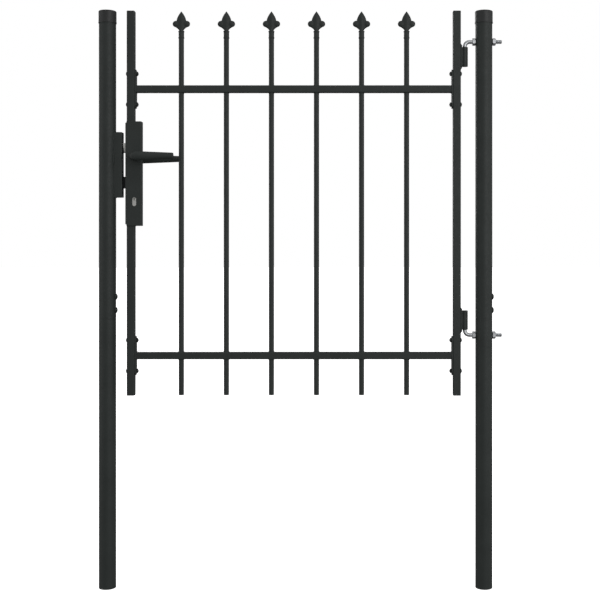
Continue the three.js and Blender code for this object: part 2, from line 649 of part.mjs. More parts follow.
// The lock's case and its forend, with the openings for both bolts.
function lockCase() {
  const half = boxDepth / 2;
  const side = caseThickness / 2;
  const slot = boltThickness / 2 + SLIP;
  const low = FOREND_INSET - LOCK_BOX_BOTTOM;
  const high = LOCK_BOX_TOP - FOREND_INSET;
  const cornerMiddle = FOREND_CORNER * ROUND_MIDDLE;
  const inside = [CASE_WALL - CASE_BOTTOM, CASE_TOP - CASE_WALL];
  const forend = outline([
    [forendBack, low],
    [forendBack, high],
    [forendFace + FOREND_CORNER, high],
    [forendFace + cornerMiddle, high - cornerMiddle],
    [forendFace, high - FOREND_CORNER],
    [forendFace, low + FOREND_CORNER],
    [forendFace + cornerMiddle, low + cornerMiddle],
    [forendFace + FOREND_CORNER, low],
  ]);
  const shell = cut(
    block([forendBack - LAP, caseEnd], [-side, side], [-CASE_BOTTOM, CASE_TOP]),
    block([forendBack, caseEnd - CASE_WALL], [-caseBore, caseBore], inside),
    spindleClearance(),
    cylinderHole(),
  );
  const opening = (middle, height) => {
    const reach = height / 2 + SLIP;
    return block([forendFace - PAST, forendBack + PAST], [-slot, slot], [middle - reach, middle + reach]);
  };
  return cut(
    join(slab(forend, 2 * half), shell),
    opening(LATCH_RISE, LATCH_HEIGHT),
    opening(-DEAD_BOLT_DROP, DEAD_BOLT_HEIGHT),
  );
}

// The lock's hub, with the arm that draws the latch bolt back.
function makeFollower() {
  const reach = caseBore - SLIP;
  const width = [-FOLLOWER_ARM_WIDTH / 2, FOLLOWER_ARM_WIDTH / 2];
  const thickness = [springFoot - SLIP - FOLLOWER_ARM_THICKNESS, springFoot - SLIP];
  const arm = block(width, thickness, [0, armLength]).rotateY(degToRad(-FOLLOWER_LEAN));
  const hole = SPINDLE_SIZE / 2 + SLIP;
  const body = join(rod(HUB_RADIUS, [-reach, reach], "y", ROD_SIDES), arm);
  return cut(body, block([-hole, hole], throughLock, [-hole, hole]));
}

// The wound spring round the hub that lifts the lever again.
function followerSpring() {
  const radius = springInside + SPRING_WIRE / 2;
  const start = springFoot + SPRING_WIRE / 2 + SPRING_TURNS * SPRING_PITCH;
  class Coil extends THREE.Curve {
    getPoint(t, target = new THREE.Vector3()) {
      const turn = t * SPRING_TURNS;
      const angle = turn * 2 * Math.PI;
      return target.set(radius * Math.sin(angle), start - turn * SPRING_PITCH, -radius * Math.cos(angle));
    }
  }
  const section = new THREE.Shape().absarc(0, 0, SPRING_WIRE / 2, 0, 2 * Math.PI);
  return new THREE.ExtrudeGeometry(section, { steps: 32, curveSegments: 3, extrudePath: new Coil() });
}

// The sprung latch bolt: its tip is bevelled on the side that meets the keeper when the gate closes.
function latchBolt() {
  const side = boltThickness / 2;
  const low = LATCH_RISE - LATCH_HEIGHT / 2;
  const high = LATCH_RISE + LATCH_HEIGHT / 2;
  const head = outline([
    [boltTip, side],
    [boltTip, side - LATCH_FLAT],
    [boltTip + LATCH_BEVEL, -side],
    [boltRear, -side],
    [boltRear, side],
  ]);
  const nose = new THREE.ExtrudeGeometry(head, { depth: high - low, bevelEnabled: false }).translate(0, 0, low);
  const thickness = [-TAIL_THICKNESS / 2, TAIL_THICKNESS / 2];
  const tailLow = armLength + ARM_ROOM;
  const hookLow = springOutside + HOOK_ROOM;
  const lean = degToRad(FOLLOWER_LEAN);
  const armSide = FOLLOWER_ARM_WIDTH / 2 / Math.cos(lean) - hookLow * Math.tan(lean);
  const hookFace = armSide + SLIP / Math.cos(lean);
  const tailSpan = [tailLow, tailLow + LATCH_TAIL_HEIGHT];
  const tail = block([boltRear - LAP, hookFace + HOOK_WIDTH], thickness, tailSpan);
  const hook = block([hookFace, hookFace + HOOK_WIDTH], thickness, [hookLow, tailLow + LAP]);
  return join(nose, tail, hook);
}

// The dead bolt, with the notched tail that the cam's finger drives.
function deadBolt() {
  const side = boltThickness / 2;
  const low = -DEAD_BOLT_DROP - DEAD_BOLT_HEIGHT / 2;
  const high = -DEAD_BOLT_DROP + DEAD_BOLT_HEIGHT / 2;
  const thickness = [-TAIL_THICKNESS / 2, TAIL_THICKNESS / 2];
  const lean = degToRad(CAM_LEAN);
  const fingerOut = CAM_FINGER * Math.sin(lean) + (CAM_FINGER_WIDTH / 2) * Math.cos(lean);
  const notchLeft = -fingerOut - NOTCH_ROOM;
  const notchRight = notchLeft + NOTCH_WIDTH;
  const notchTop = CAM_FINGER + NOTCH_ROOM - plugDrop;
  const lugFoot = CAM_RADIUS + CAM_ROOM + SLIP - plugDrop;
  const tailLeft = notchLeft - NOTCH_LUG;
  const tailRight = notchRight + NOTCH_LUG;
  const head = block([boltTip, boltRear], [-side, side], [low, high]);
  const tail = block([boltRear - LAP, tailRight], thickness, [low + LAP, high - DEAD_TAIL_INSET]);
  const web = block([tailLeft, tailRight], thickness, [notchTop, low + 2 * LAP]);
  const lugs = [tailLeft, notchRight].map((x) =>
    block([x, x + NOTCH_LUG], thickness, [lugFoot, notchTop + LAP]));
  return join(head, tail, web, ...lugs);
}

// The key cylinder's housing, right through the lock, with a gap in its middle where the cam turns.
function cylinderHousing() {
  const shape = roundEnded(CYLINDER_WIDTH, CYLINDER_HEIGHT);
  const body = slab(shape, 2 * cylinderReach, { curveSegments: 3 }).translate(0, 0, -CYLINDER_DROP);
  const gap = CAM_THICKNESS / 2 + 2 * SLIP;
  return cut(
    body,
    rod(PLUG_RADIUS + SLIP, throughLock, "y", ROD_SIDES).translate(0, 0, -plugDrop),
    rod(CAM_RADIUS + CAM_ROOM, [-gap, gap], "y", ROD_SIDES).translate(0, 0, -plugDrop),
  );
}

// The plug that the key turns, with its cam and a key slot in each end.
function cylinderPlug() {
  const cam = [-CAM_THICKNESS / 2, CAM_THICKNESS / 2];
  const finger = block([-CAM_FINGER_WIDTH / 2, CAM_FINGER_WIDTH / 2], cam, [0, CAM_FINGER]);
  const body = join(
    rod(PLUG_RADIUS, [-cylinderReach, cylinderReach], "y", ROD_SIDES),
    rod(CAM_RADIUS, cam, "y", ROD_SIDES),
    finger.rotateY(degToRad(-CAM_LEAN)),
  );
  const keySlots = [-1, 1].map((side) => {
    const along = [side * (cylinderReach - KEY_SLOT_DEPTH), side * (cylinderReach + PAST)];
    const across = [-KEY_SLOT_WIDTH / 2, KEY_SLOT_WIDTH / 2];
    return block(across, along.sort((a, b) => a - b), [-KEY_SLOT_HEIGHT / 2, KEY_SLOT_HEIGHT / 2]);
  });
  return cut(body, ...keySlots);
}

// A lever: a neck on the spindle and a grip that narrows to its end. side is -1 on the street side.
function makeLever(side) {
  const end = LEVER_LENGTH;
  const corner = LEVER_CORNER;
  const shape = new THREE.Shape();
  shape.moveTo(LEVER_ROOT - NECK_RADIUS, -LEVER_ROOT);
  shape.lineTo(end - corner, -LEVER_TIP);
  shape.quadraticCurveTo(end, -LEVER_TIP, end, -LEVER_TIP + corner);
  shape.lineTo(end, LEVER_TIP - corner);
  shape.quadraticCurveTo(end, LEVER_TIP, end - corner, LEVER_TIP);
  shape.lineTo(LEVER_ROOT - NECK_RADIUS, LEVER_ROOT);
  shape.absarc(LEVER_ROOT - NECK_RADIUS, 0, LEVER_ROOT, Math.PI / 2, Math.PI * 1.5, false);
  const thickness = LEVER_THICKNESS - 2 * LEVER_BEVEL;
  const grip = slab(shape, thickness, { ...chamfer(LEVER_BEVEL), curveSegments: 4 });
  grip.translate(0, side * LEVER_OUT, 0);
  const neckStart = boxDepth / 2 + SLIP;
  const span = [side * neckStart, side * LEVER_OUT].sort((a, b) => a - b);
  const socket = [side * (neckStart - PAST), side * (SPINDLE_REACH + PAST)].sort((a, b) => a - b);
  const hole = SPINDLE_SIZE / 2 + SLIP;
  const body = join(grip, rod(NECK_RADIUS, span, "y", ROD_SIDES));
  return cut(body, block([-hole, hole], socket, [-hole, hole]));
}

// ---- assembly ---------------------------------------------------------------------------------------------

const gate = new THREE.Group();

const latchPost = makePost("latch_post", [], Object.values(keeperScrewHeights));
latchPost.position.x = latchPostX;
place(latchPost, "keeper", keeperChannel(), powderCoat);
for (const [key, height] of Object.entries(keeperScrewHeights)) {
  place(latchPost, `keeper_screw_${key}`, geometryOf(solidOf(keeperScrew())), blackSteel, [0, 0, height]);
}
gate.add(latchPost);

const hingePost = makePost("hinge_post", Object.values(hingeHeights), []);
hingePost.position.x = hingePostX;
for (const [key, height] of Object.entries(hingeHeights)) {
  const side = key === "top" ? -1 : 1;
  place(hingePost, `hinge_bolt_${key}`, geometryOf(solidOf(hingeBolt(side))), zinc, [0, 0, height]);
  const inner = hingeNut(-postRadius - SEAT - HINGE_NUT_HEIGHT);
  place(hingePost, `hinge_nut_${key}_outer`, hingeNut(postRadius + SEAT), zinc, [0, 0, height]);
  place(hingePost, `hinge_nut_${key}_inner`, inner, zinc, [0, 0, height]);
}
gate.add(hingePost);

const leaf = new THREE.Group();
leaf.position.set(leafStart, 0, leafBottom);
gate.add(leaf);

const firstPicket = leafWidth / 2 - (PICKET_SPACING * (PICKET_COUNT - 1)) / 2;
const picketPlaces = Array.from({ length: PICKET_COUNT }, (_, i) => firstPicket + i * PICKET_SPACING);

for (const [key, height] of Object.entries(railHeights)) {
  place(leaf, `rail_${key}`, makeRail(picketPlaces), powderCoat, [0, 0, height]);
  for (const [level, offset] of [["lower", -RAIL_BOLT_OFFSET], ["upper", RAIL_BOLT_OFFSET]]) {
    const onHinge = railBolt().rotateZ(Math.PI);
    place(leaf, `rail_bolt_${key}_latch_${level}`, railBolt(), powderCoat, [0, 0, height + offset]);
    place(leaf, `rail_bolt_${key}_hinge_${level}`, onHinge, powderCoat, [leafWidth, 0, height + offset]);
  }
}

picketPlaces.forEach((x, i) => {
  const bar = tube(picketRadius, picketRadius - PICKET_WALL, [PICKET_FOOT_RISE, collarFoot - SEAT]);
  place(leaf, `picket_${i + 1}`, geometryOf(solidOf(bar)), powderCoat, [x, 0, 0]);
  place(leaf, `finial_${i + 1}`, makeFinial(), powderCoat, [x, 0, collarFoot]);
});

const lockPlace = [BACKSET, 0, spindleHeight - leafBottom];
const lockWindow = block(
  [-BACKSET - PAST, STILE_SIZE - BACKSET + PAST],
  [-caseThickness / 2 - SLIP, caseThickness / 2 + SLIP],
  [-CASE_BOTTOM - SLIP, CASE_TOP + SLIP],
);
const lockCuts = [lockWindow, spindleClearance(), cylinderHole()];
lockCuts.forEach((tool) => tool.translate(BACKSET - STILE_SIZE / 2, 0, lockPlace[2]));

const latchStile = cut(squareTube(STILE_SIZE, STILE_WALL, stileSpan), ...stileBoltHoles(), ...lockCuts);
const hingeStile = cut(squareTube(STILE_SIZE, STILE_WALL, stileSpan), ...stileBoltHoles());
const stiles = { latch: [STILE_SIZE / 2, latchStile], hinge: [leafWidth - STILE_SIZE / 2, hingeStile] };
for (const [key, [x, bar]] of Object.entries(stiles)) {
  place(leaf, `stile_${key}`, bar, powderCoat, [x, 0, 0]);
  place(leaf, `stile_${key}_plug_top`, stilePlug(1), blackPlastic, [x, 0, LEAF_HEIGHT - STILE_PLUG_TOP]);
  place(leaf, `stile_${key}_plug_bottom`, stilePlug(-1), blackPlastic, [x, 0, STILE_PLUG_TOP]);
}

const hingeAxis = hingePostX - hingeReach - leafStart;
place(leaf, "hinge_barrel_top", hingeBarrel(-1), powderCoat, [hingeAxis, 0, LEAF_HEIGHT - TOP_HINGE_DROP]);
place(leaf, "hinge_barrel_bottom", hingeBarrel(1), powderCoat, [hingeAxis, 0, BOTTOM_HINGE_RISE]);

const lock = new THREE.Group();
lock.position.set(...lockPlace);
leaf.add(lock);

place(lock, "lock_box", lockBox(), powderCoat);
place(lock, "lock_case", lockCase(), powderCoat);
place(lock, "follower", makeFollower(), zinc);
place(lock, "follower_spring", geometryOf(solidOf(followerSpring())), zinc);
place(lock, "latch_bolt", latchBolt(), nickel);
place(lock, "dead_bolt", deadBolt(), blackSteel);
place(lock, "cylinder_housing", cylinderHousing(), nickel);
place(lock, "cylinder_plug", cylinderPlug(), nickel, [0, 0, -plugDrop]);
const spindleSide = [-SPINDLE_SIZE / 2, SPINDLE_SIZE / 2];
place(lock, "spindle", block(spindleSide, [-SPINDLE_REACH, SPINDLE_REACH], spindleSide), zinc);
place(lock, "lever_front", makeLever(-1), powderCoat);
place(lock, "lever_back", makeLever(1), powderCoat);

export default gate;
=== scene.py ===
"""Garden gate: the finished surfaces of a tubular steel gate, made round its fixed design model.

Run as a script, it builds every visible piece in metres, in the design model's own frame: X runs from the latch
post to the hinge post, Y from the street side to the garden side, and Z is up.
"""

import functools
import json
import math

import bmesh
import bpy
from bpy.props import FloatProperty, FloatVectorProperty, IntProperty, PointerProperty
from mathutils import Matrix, Vector

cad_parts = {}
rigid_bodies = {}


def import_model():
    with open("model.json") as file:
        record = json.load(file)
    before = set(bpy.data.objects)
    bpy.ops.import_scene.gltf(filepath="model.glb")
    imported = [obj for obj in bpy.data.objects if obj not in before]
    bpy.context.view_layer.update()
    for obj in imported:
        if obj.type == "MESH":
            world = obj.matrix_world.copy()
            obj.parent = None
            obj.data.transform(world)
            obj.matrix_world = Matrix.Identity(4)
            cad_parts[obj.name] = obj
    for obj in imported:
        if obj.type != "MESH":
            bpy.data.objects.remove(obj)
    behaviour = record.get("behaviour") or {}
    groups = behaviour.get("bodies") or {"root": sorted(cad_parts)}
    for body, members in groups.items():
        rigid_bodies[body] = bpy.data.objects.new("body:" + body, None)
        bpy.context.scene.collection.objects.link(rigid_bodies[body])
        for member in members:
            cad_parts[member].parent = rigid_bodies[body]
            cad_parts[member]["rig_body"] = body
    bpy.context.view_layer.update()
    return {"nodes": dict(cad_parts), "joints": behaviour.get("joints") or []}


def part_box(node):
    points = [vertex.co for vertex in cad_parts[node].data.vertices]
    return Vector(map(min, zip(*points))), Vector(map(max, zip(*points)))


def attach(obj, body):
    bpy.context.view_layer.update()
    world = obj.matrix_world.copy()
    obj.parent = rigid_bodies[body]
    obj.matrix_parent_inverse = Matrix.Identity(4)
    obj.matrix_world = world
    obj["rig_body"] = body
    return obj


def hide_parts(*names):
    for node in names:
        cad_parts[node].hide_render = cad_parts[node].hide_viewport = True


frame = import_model()

bl_info = {
    "name": "Garden Gate",
    "version": (1, 0, 0),
    "blender": (4, 5, 0),
    "location": "3D View > Sidebar > Garden Gate",
    "description": "Builds the pieces, finishes and studio of a tubular steel garden gate",
    "category": "Add Mesh",
}

MM = 0.001
UP = Vector((0, 0, 1))
FULL_TURN = 2 * math.pi
WHITE = (1, 1, 1, 1)
SMOOTH_ANGLE = math.radians(32)  # edges that turn more than this are shaded sharp
MERGE_DISTANCE = 1e-6
AXES = {"X": Vector((1, 0, 0)), "Y": Vector((0, 1, 0)), "Z": Vector((0, 0, 1))}
POSTS = ("latch_post", "hinge_post")
LEVELS = ("top", "bottom")
ENDS = ("latch", "hinge")
SCREWS = ("low", "high")
PICKETS = tuple(range(1, 7))


# ---- what the design model says ------------------------------------------------------------------------------


box_of = functools.cache(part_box)


def low(node):
    return box_of(node)[0].copy()


def high(node):
    return box_of(node)[1].copy()


def middle(node):
    """The middle of a design node's box."""
    return (low(node) + high(node)) / 2


def extent(node):
    """The size of a design node's box on each axis."""
    return high(node) - low(node)


def post_axis(post):
    return Vector((middle(f"{post}_upper_tube").x, 0, 0))


def joint_place(name):
    """A point on a joint's axis."""
    return Vector(next(joint["pos_m"] for joint in frame["joints"] if joint["name"] == name))


def rod_level(key):
    """The height at which a hinge rod goes through its post."""
    return middle(f"hinge_nut_{key}_outer").z


POST_RADIUS = extent("latch_post_upper_tube").x / 2
POST_JOINT = low("latch_post_upper_tube").z
STILE_SIZE = extent("stile_latch").x
PICKET_RADIUS = extent("picket_1").x / 2
ROD_RADIUS = extent("hinge_bolt_top").y / 2
BOX_HALF_DEPTH = extent("lock_box").y / 2
HINGE_AXIS = joint_place("gate_swing")
PLUG_AXIS = joint_place("key_turn")
SPINDLE = middle("spindle")

# Sizes of bought parts and of the plates between them, which the design model doesn't name.
JOINT_SCREW_RADIUS = 3 * MM
KEEPER_SCREW_RADIUS = 2.4 * MM
RAIL_BOLT_RADIUS = 3 * MM
HINGE_NUT_FLATS = 17 * MM
RAIL_NUT_FLATS = 10 * MM
END_PLATE = 3.5 * MM  # thickness of the plates on the rails' ends
BARREL_SPAN = (14 * MM, 64 * MM)  # ends of a hinge barrel's eye, from its rod's level
SPINDLE_HOLE = 7 * MM  # radius of the spindle's hole in the lock box and its case
FOREND_SCREWS = (80 * MM, -165 * MM)  # levels of the forend's screws, from the spindle's
TAIL_THICKNESS = 5 * MM  # of both bolts' tails
KEEPER_STITCH = (1100 * MM, 1129 * MM)  # the longer weld in the middle of each cheek of the keeper


# ---- settings ------------------------------------------------------------------------------------------------


def linear(code):
    """An sRGB hex colour as the linear red, green and blue that shaders take."""
    channels = [int(code[i : i + 2], 16) / 255 for i in (0, 2, 4)]
    return [c / 12.92 if c <= 0.04045 else ((c + 0.055) / 1.055) ** 2.4 for c in channels]


def length_setting(name, description, millimetres):
    length = millimetres * MM
    return FloatProperty(name=name, description=description, default=length, unit="LENGTH", precision=4)


def colour_setting(name, description, code):
    return FloatVectorProperty(
        name=name, description=description, default=linear(code), size=3, subtype="COLOR", min=0, max=1
    )


class GateShapes(bpy.types.PropertyGroup):
    """Sizes of the fine shapes that finish the design model's solids."""

    wall: length_setting("Tube wall", "Thickness of the post and stile tubes", 1.5)
    picket_wall: length_setting("Picket wall", "Thickness of the picket tubes", 1.2)
    tube_corner: length_setting("Tube corner", "Outer corner radius of the square tubes", 1.8)
    burr: length_setting("Edge break", "Rounding of cut and pressed edges", 0.4)
    plastic_edge: length_setting("Plastic edge", "Rounding of the moulded caps and plugs", 1.1)
    cap_lip: length_setting("Cap lip", "How far the cap's lip stands out of its skirt", 0.5)
    sheet_corner: length_setting("Folded corner", "Outer radius of the lock box's and keeper's folds", 1.6)
    sheet_wall: length_setting("Sheet wall", "Thickness of the lock box's and keeper's sheet", 2.2)
    weld: length_setting("Weld bead", "Radius of a weld bead", 1.7)
    thread_pitch: length_setting("Thread pitch", "Pitch of the hinge rods' thread", 1.5)
    thread_depth: length_setting("Thread depth", "Depth of the hinge rods' thread", 0.75)
    drill_play: length_setting("Drill play", "Room round a bolt or screw in its hole", 0.3)
    ripples: IntProperty(name="Weld ripples", description="Ripples round a picket's weld bead", default=14, min=0)


class GateColours(bpy.types.PropertyGroup):
    """Colours of the gate's finishes."""

    powder: colour_setting("Powder coat", "Anthracite powder coat on the steelwork", "272D2B")
    powder_dust: colour_setting("Powder coat, thin", "Powder coat where it lies thinner", "2D3331")
    plastic: colour_setting("Plastic", "Moulded end caps and plugs", "2A2C2C")
    zinc: colour_setting("Zinc", "Bright zinc plate on the hinge rods", "D9DBDD")
    zinc_dull: colour_setting("Zinc, dull", "Duller crystals in the zinc plate", "C0C3C6")
    nickel: colour_setting("Nickel", "Satin nickel plate on latch and cylinder", "DEDEDA")
    oxide: colour_setting("Black oxide", "Black oxide on the dead bolt and screws", "17191A")
    floor: colour_setting("Floor", "Studio floor", "FFFFFF")


class GateStudio(bpy.types.PropertyGroup):
    """Camera and light."""

    camera_x: length_setting("Camera X", "Camera's place along the gate", 117)
    camera_y: length_setting("Camera Y", "Camera's distance on the street side", -2700)
    camera_z: length_setting("Camera Z", "Camera's height", 890)
    lens: FloatProperty(name="Lens", description="Focal length in millimetres", default=62.2, min=10)
    shift_x: FloatProperty(name="Shift X", description="Sideways lens shift", default=-0.075)
    shift_y: FloatProperty(name="Shift Y", description="Upward lens shift", default=-0.0908)
    daylight: FloatProperty(name="Room light", description="Strength of the room's light", default=0.36, min=0)
    key: FloatProperty(name="Key light", description="Power of the key softbox in watts", default=42, min=0)
    side: FloatProperty(name="Side light", description="Power of each side softbox in watts", default=5, min=0)
    back: FloatProperty(name="Back light", description="Power of the softbox behind in watts", default=36, min=0)


class GateSettings(bpy.types.PropertyGroup):
    """Everything that can be set about the gate's looks."""

    shapes: PointerProperty(type=GateShapes)
    colours: PointerProperty(type=GateColours)
    studio: PointerProperty(type=GateStudio)


def settings():
    return bpy.context.scene.garden_gate


# ---- finishes ------------------------------------------------------------------------------------------------


def add_node(tree, kind, inputs=(), **attributes):
    """Adds a node to a tree, with its settings, and with values or links for its inputs."""
    node = tree.nodes.new(kind)
    for name, value in attributes.items():
        setattr(node, name, value)
    for name, value in dict(inputs).items():
        if isinstance(value, bpy.types.NodeSocket):
            tree.links.new(value, node.inputs[name])
        else:
            node.inputs[name].default_value = value
    return node


def opaque(colour):
    return (*colour, 1)


def new_material(name):
    """A material with an empty node tree, and the object's own coordinates in it."""
    material = bpy.data.materials.new(name)
    material.use_nodes = True
    tree = material.node_tree
    tree.nodes.clear()
    return material, tree, add_node(tree, "ShaderNodeTexCoord").outputs["Object"]


def surface(tree, inputs):
    """Ends a material's tree: its surface shader, with these inputs, and its output."""
    shader = add_node(tree, "ShaderNodeBsdfPrincipled", inputs)
    add_node(tree, "ShaderNodeOutputMaterial", {"Surface": shader.outputs["BSDF"]})


def mottled(tree, place, size, lowest, highest, detail=2.0):
    """A value that wanders between two numbers, in patches about this many millimetres across."""
    patches = add_node(tree, "ShaderNodeTexNoise", {"Vector": place, "Scale": 1 / (size * MM), "Detail": detail})
    ends = {"From Min": 0.3, "From Max": 0.7, "To Min": lowest, "To Max": highest}
    return add_node(tree, "ShaderNodeMapRange", {"Value": patches.outputs["Fac"], **ends}).outputs["Result"]


def grained(tree, place, size, depth, detail=1.0, under=None):
    """A normal roughened by grains of a size and a depth in millimetres, over another if one is given."""
    grains = add_node(tree, "ShaderNodeTexNoise", {"Vector": place, "Scale": 1 / (size * MM), "Detail": detail})
    inputs = {"Height": grains.outputs["Fac"], "Distance": depth * MM, "Strength": 1.0}
    if under is not None:
        inputs["Normal"] = under
    return add_node(tree, "ShaderNodeBump", inputs).outputs["Normal"]


def powder_coat():
    """Polyester powder coat, baked on steel: satin, with a soft orange peel and a fine sandy grain."""
    colours = settings().colours
    material, tree, place = new_material("anthracite_powder_coat")
    thinning = {
        "Factor": mottled(tree, place, 45, 0, 1), "A": opaque(colours.powder), "B": opaque(colours.powder_dust)
    }
    tint = add_node(tree, "ShaderNodeMix", thinning, data_type="RGBA").outputs["Result"]
    peel = grained(tree, place, 2.2, 0.12)
    # The real grain is about 0.1 mm; it is drawn at 0.5 mm so that it shows.
    sand = grained(tree, place, 0.5, 0.06, under=peel)
    satin = mottled(tree, place, 6, 0.5, 0.6)
    surface(tree, {"Base Color": tint, "Roughness": satin, "IOR": 1.5, "Normal": sand})
    return material


def moulded_plastic():
    """Polyethylene, injection moulded: slightly waxy, with the fine spark-eroded grain of its mould."""
    material, tree, place = new_material("moulded_polyethylene")
    # The mould's grain is about 0.15 mm; it is drawn at 0.7 mm so that it shows.
    grain = grained(tree, place, 0.7, 0.05, 3)
    wax = mottled(tree, place, 9, 0.4, 0.5)
    tint = opaque(settings().colours.plastic)
    surface(tree, {"Base Color": tint, "Roughness": wax, "IOR": 1.51, "Normal": grain})
    return material


def zinc_plate():
    """Steel, zinc plated and passivated: bright and cool, faintly blotched where the bath ran."""
    colours = settings().colours
    material, tree, place = new_material("bright_zinc_plate")
    blotches = {
        "Factor": mottled(tree, place, 7, 0, 1, 3), "A": opaque(colours.zinc), "B": opaque(colours.zinc_dull)
    }
    tint = add_node(tree, "ShaderNodeMix", blotches, data_type="RGBA").outputs["Result"]
    sheen = mottled(tree, place, 3, 0.3, 0.42, 3)
    # The plate's own grain is far finer; it is drawn at 0.9 mm so that it shows.
    grain = grained(tree, place, 0.9, 0.02, 2)
    surface(tree, {"Base Color": tint, "Roughness": sheen, "Metallic": 1.0, "Normal": grain})
    return material


def satin_nickel():
    """Nickel plate on belt-brushed zinc alloy: soft sheen, with fine lines along the belt's run."""
    material, tree, place = new_material("satin_nickel_plate")
    # The Mapping draws the lines out along X and Z. They are about 0.05 mm apart, and drawn at 0.4 mm to show.
    belt = add_node(tree, "ShaderNodeMapping", {"Vector": place, "Scale": (0.04, 1, 0.04)}).outputs["Vector"]
    sheen = mottled(tree, belt, 0.4, 0.26, 0.4, 1)
    lines = grained(tree, belt, 0.4, 0.015)
    tint = opaque(settings().colours.nickel)
    surface(tree, {"Base Color": tint, "Roughness": sheen, "Metallic": 1.0, "Normal": lines})
    return material


def black_oxide():
    """Hardened steel, hot blackened and oiled: near black, with a dull metallic gleam."""
    material, tree, place = new_material("black_oxide_steel")
    gleam = mottled(tree, place, 4, 0.36, 0.5, 3)
    # The oxide's own grain is far finer; it is drawn at 0.8 mm so that it shows.
    grain = grained(tree, place, 0.8, 0.02, 2)
    tint = opaque(settings().colours.oxide)
    surface(tree, {"Base Color": tint, "Roughness": gleam, "Metallic": 0.7, "Normal": grain})
    return material


FINISHES = {
    "powder_coat": powder_coat,
    "black_plastic": moulded_plastic,
    "zinc_plate": zinc_plate,
    "nickel_plate": satin_nickel,
    "black_steel": black_oxide,
}


@functools.cache
def finish(slot):
    """The material of one of the record's slots, made when it is first asked for."""
    return FINISHES[slot]()


# ---- mesh tools ----------------------------------------------------------------------------------------------


def of_kind(geometry, kind):
    return [item for item in geometry if isinstance(item, kind)]


def tidy(bm):
    """Merges doubled vertices and turns the faces outwards."""
    bmesh.ops.remove_doubles(bm, verts=bm.verts, dist=MERGE_DISTANCE)
    bmesh.ops.recalc_face_normals(bm, faces=bm.faces)
    return bm


def gather(*parts):
    """Puts separate closed shells into one bmesh."""
    whole = bmesh.new()
    for part in parts:
        work = bpy.data.meshes.new("gather_work")
        part.to_mesh(work)
        part.free()
        whole.from_mesh(work)
        bpy.data.meshes.remove(work)
    return whole


def combine(body, tool, operation="DIFFERENCE"):
    """Cuts, joins or meets two closed bmeshes, and returns a new one."""
    pair = []
    for part in (body, tool):
        mesh = bpy.data.meshes.new("combine_work")
        part.to_mesh(mesh)
        part.free()
        pair.append(bpy.data.objects.new("combine_work", mesh))
        bpy.context.scene.collection.objects.link(pair[-1])
    modifier = pair[0].modifiers.new("combine", "BOOLEAN")
    modifier.object = pair[1]
    modifier.operation = operation
    modifier.solver = "EXACT"
    result = bmesh.new()
    result.from_object(pair[0], bpy.context.evaluated_depsgraph_get())
    for item in pair:
        mesh = item.data
        bpy.data.objects.remove(item)
        bpy.data.meshes.remove(mesh)
    bmesh.ops.remove_doubles(result, verts=result.verts, dist=MERGE_DISTANCE)
    return result


def soften(bm, width, segments=2, edges=None):
    """Rounds the edges given, or every edge that turns sharply."""
    if edges is None:
        edges = [edge for edge in bm.edges if edge.calc_face_angle(0) > SMOOTH_ANGLE]
    bmesh.ops.bevel(
        bm, geom=edges, offset=width, offset_type="OFFSET", segments=segments, profile=0.5,
        affect="EDGES", clamp_overlap=True, material=-1,
    )
    return bm


def edges_along(bm, axis, test=lambda place: True):
    """The edges that run along an axis and whose middle passes a test."""
    found = []
    for edge in bm.edges:
        run = edge.verts[1].co - edge.verts[0].co
        if abs(run.normalized().dot(AXES[axis])) > 0.999 and test((edge.verts[0].co + edge.verts[1].co) / 2):
            found.append(edge)
    return found


def block(lowest, highest):
    """A box between two corners."""
    lowest, highest = Vector(lowest), Vector(highest)
    bm = bmesh.new()
    place = Matrix.Translation((lowest + highest) / 2) @ Matrix.Diagonal((*(highest - lowest), 1))
    bmesh.ops.create_cube(bm, size=1, matrix=place)
    return bm


def facing(axis, place=(0, 0, 0)):
    """The matrix that turns something made along +Z to an axis, and moves it to a place."""
    quarter = math.pi / 2
    turn = {"X": Matrix.Rotation(quarter, 4, "Y"), "Y": Matrix.Rotation(-quarter, 4, "X"), "Z": Matrix()}
    return Matrix.Translation(place) @ turn[axis]


def bar(radius, span, axis="Z", place=(0, 0, 0), segments=32):
    """A round or, with few segments, many-sided bar along an axis, between two distances from a place."""
    bm = bmesh.new()
    lift = Matrix.Translation((0, 0, sum(span) / 2))
    bmesh.ops.create_cone(
        bm, cap_ends=True, segments=segments, radius1=radius, radius2=radius, depth=span[1] - span[0],
        matrix=facing(axis, place) @ lift,
    )
    return bm


def turned(profile, axis="Z", place=(0, 0, 0), steps=48):
    """A turned solid from (radius, distance) points. A profile that keeps off the axis closes on itself."""
    bm = bmesh.new()
    points = [bm.verts.new((radius, 0, along)) for radius, along in profile]
    runs = [bm.edges.new(pair) for pair in zip(points, points[1:])]
    if profile[0][0] > 0 and profile[-1][0] > 0:
        runs.append(bm.edges.new((points[-1], points[0])))
    bmesh.ops.spin(
        bm, geom=points + runs, cent=(0, 0, 0), axis=UP, angle=FULL_TURN, steps=steps, use_merge=True,
    )
    tidy(bm)
    bmesh.ops.transform(bm, matrix=facing(axis, place), verts=bm.verts)
    return bm


def ring_at(place, forward, side, half_side, half_up=None):
    """The matrix of a ring that faces forward, half_side wide towards its side and half_up across."""
    forward = Vector(forward).normalized()
    across = (Vector(side) - forward * forward.dot(Vector(side))).normalized()
    up = forward.cross(across)
    columns = (across * half_side, up * (half_up or half_side), forward, Vector(place))
    matrix = Matrix.Identity(4)
    for i, column in enumerate(columns):
        for j in range(3):
            matrix[j][i] = column[j]
    return matrix


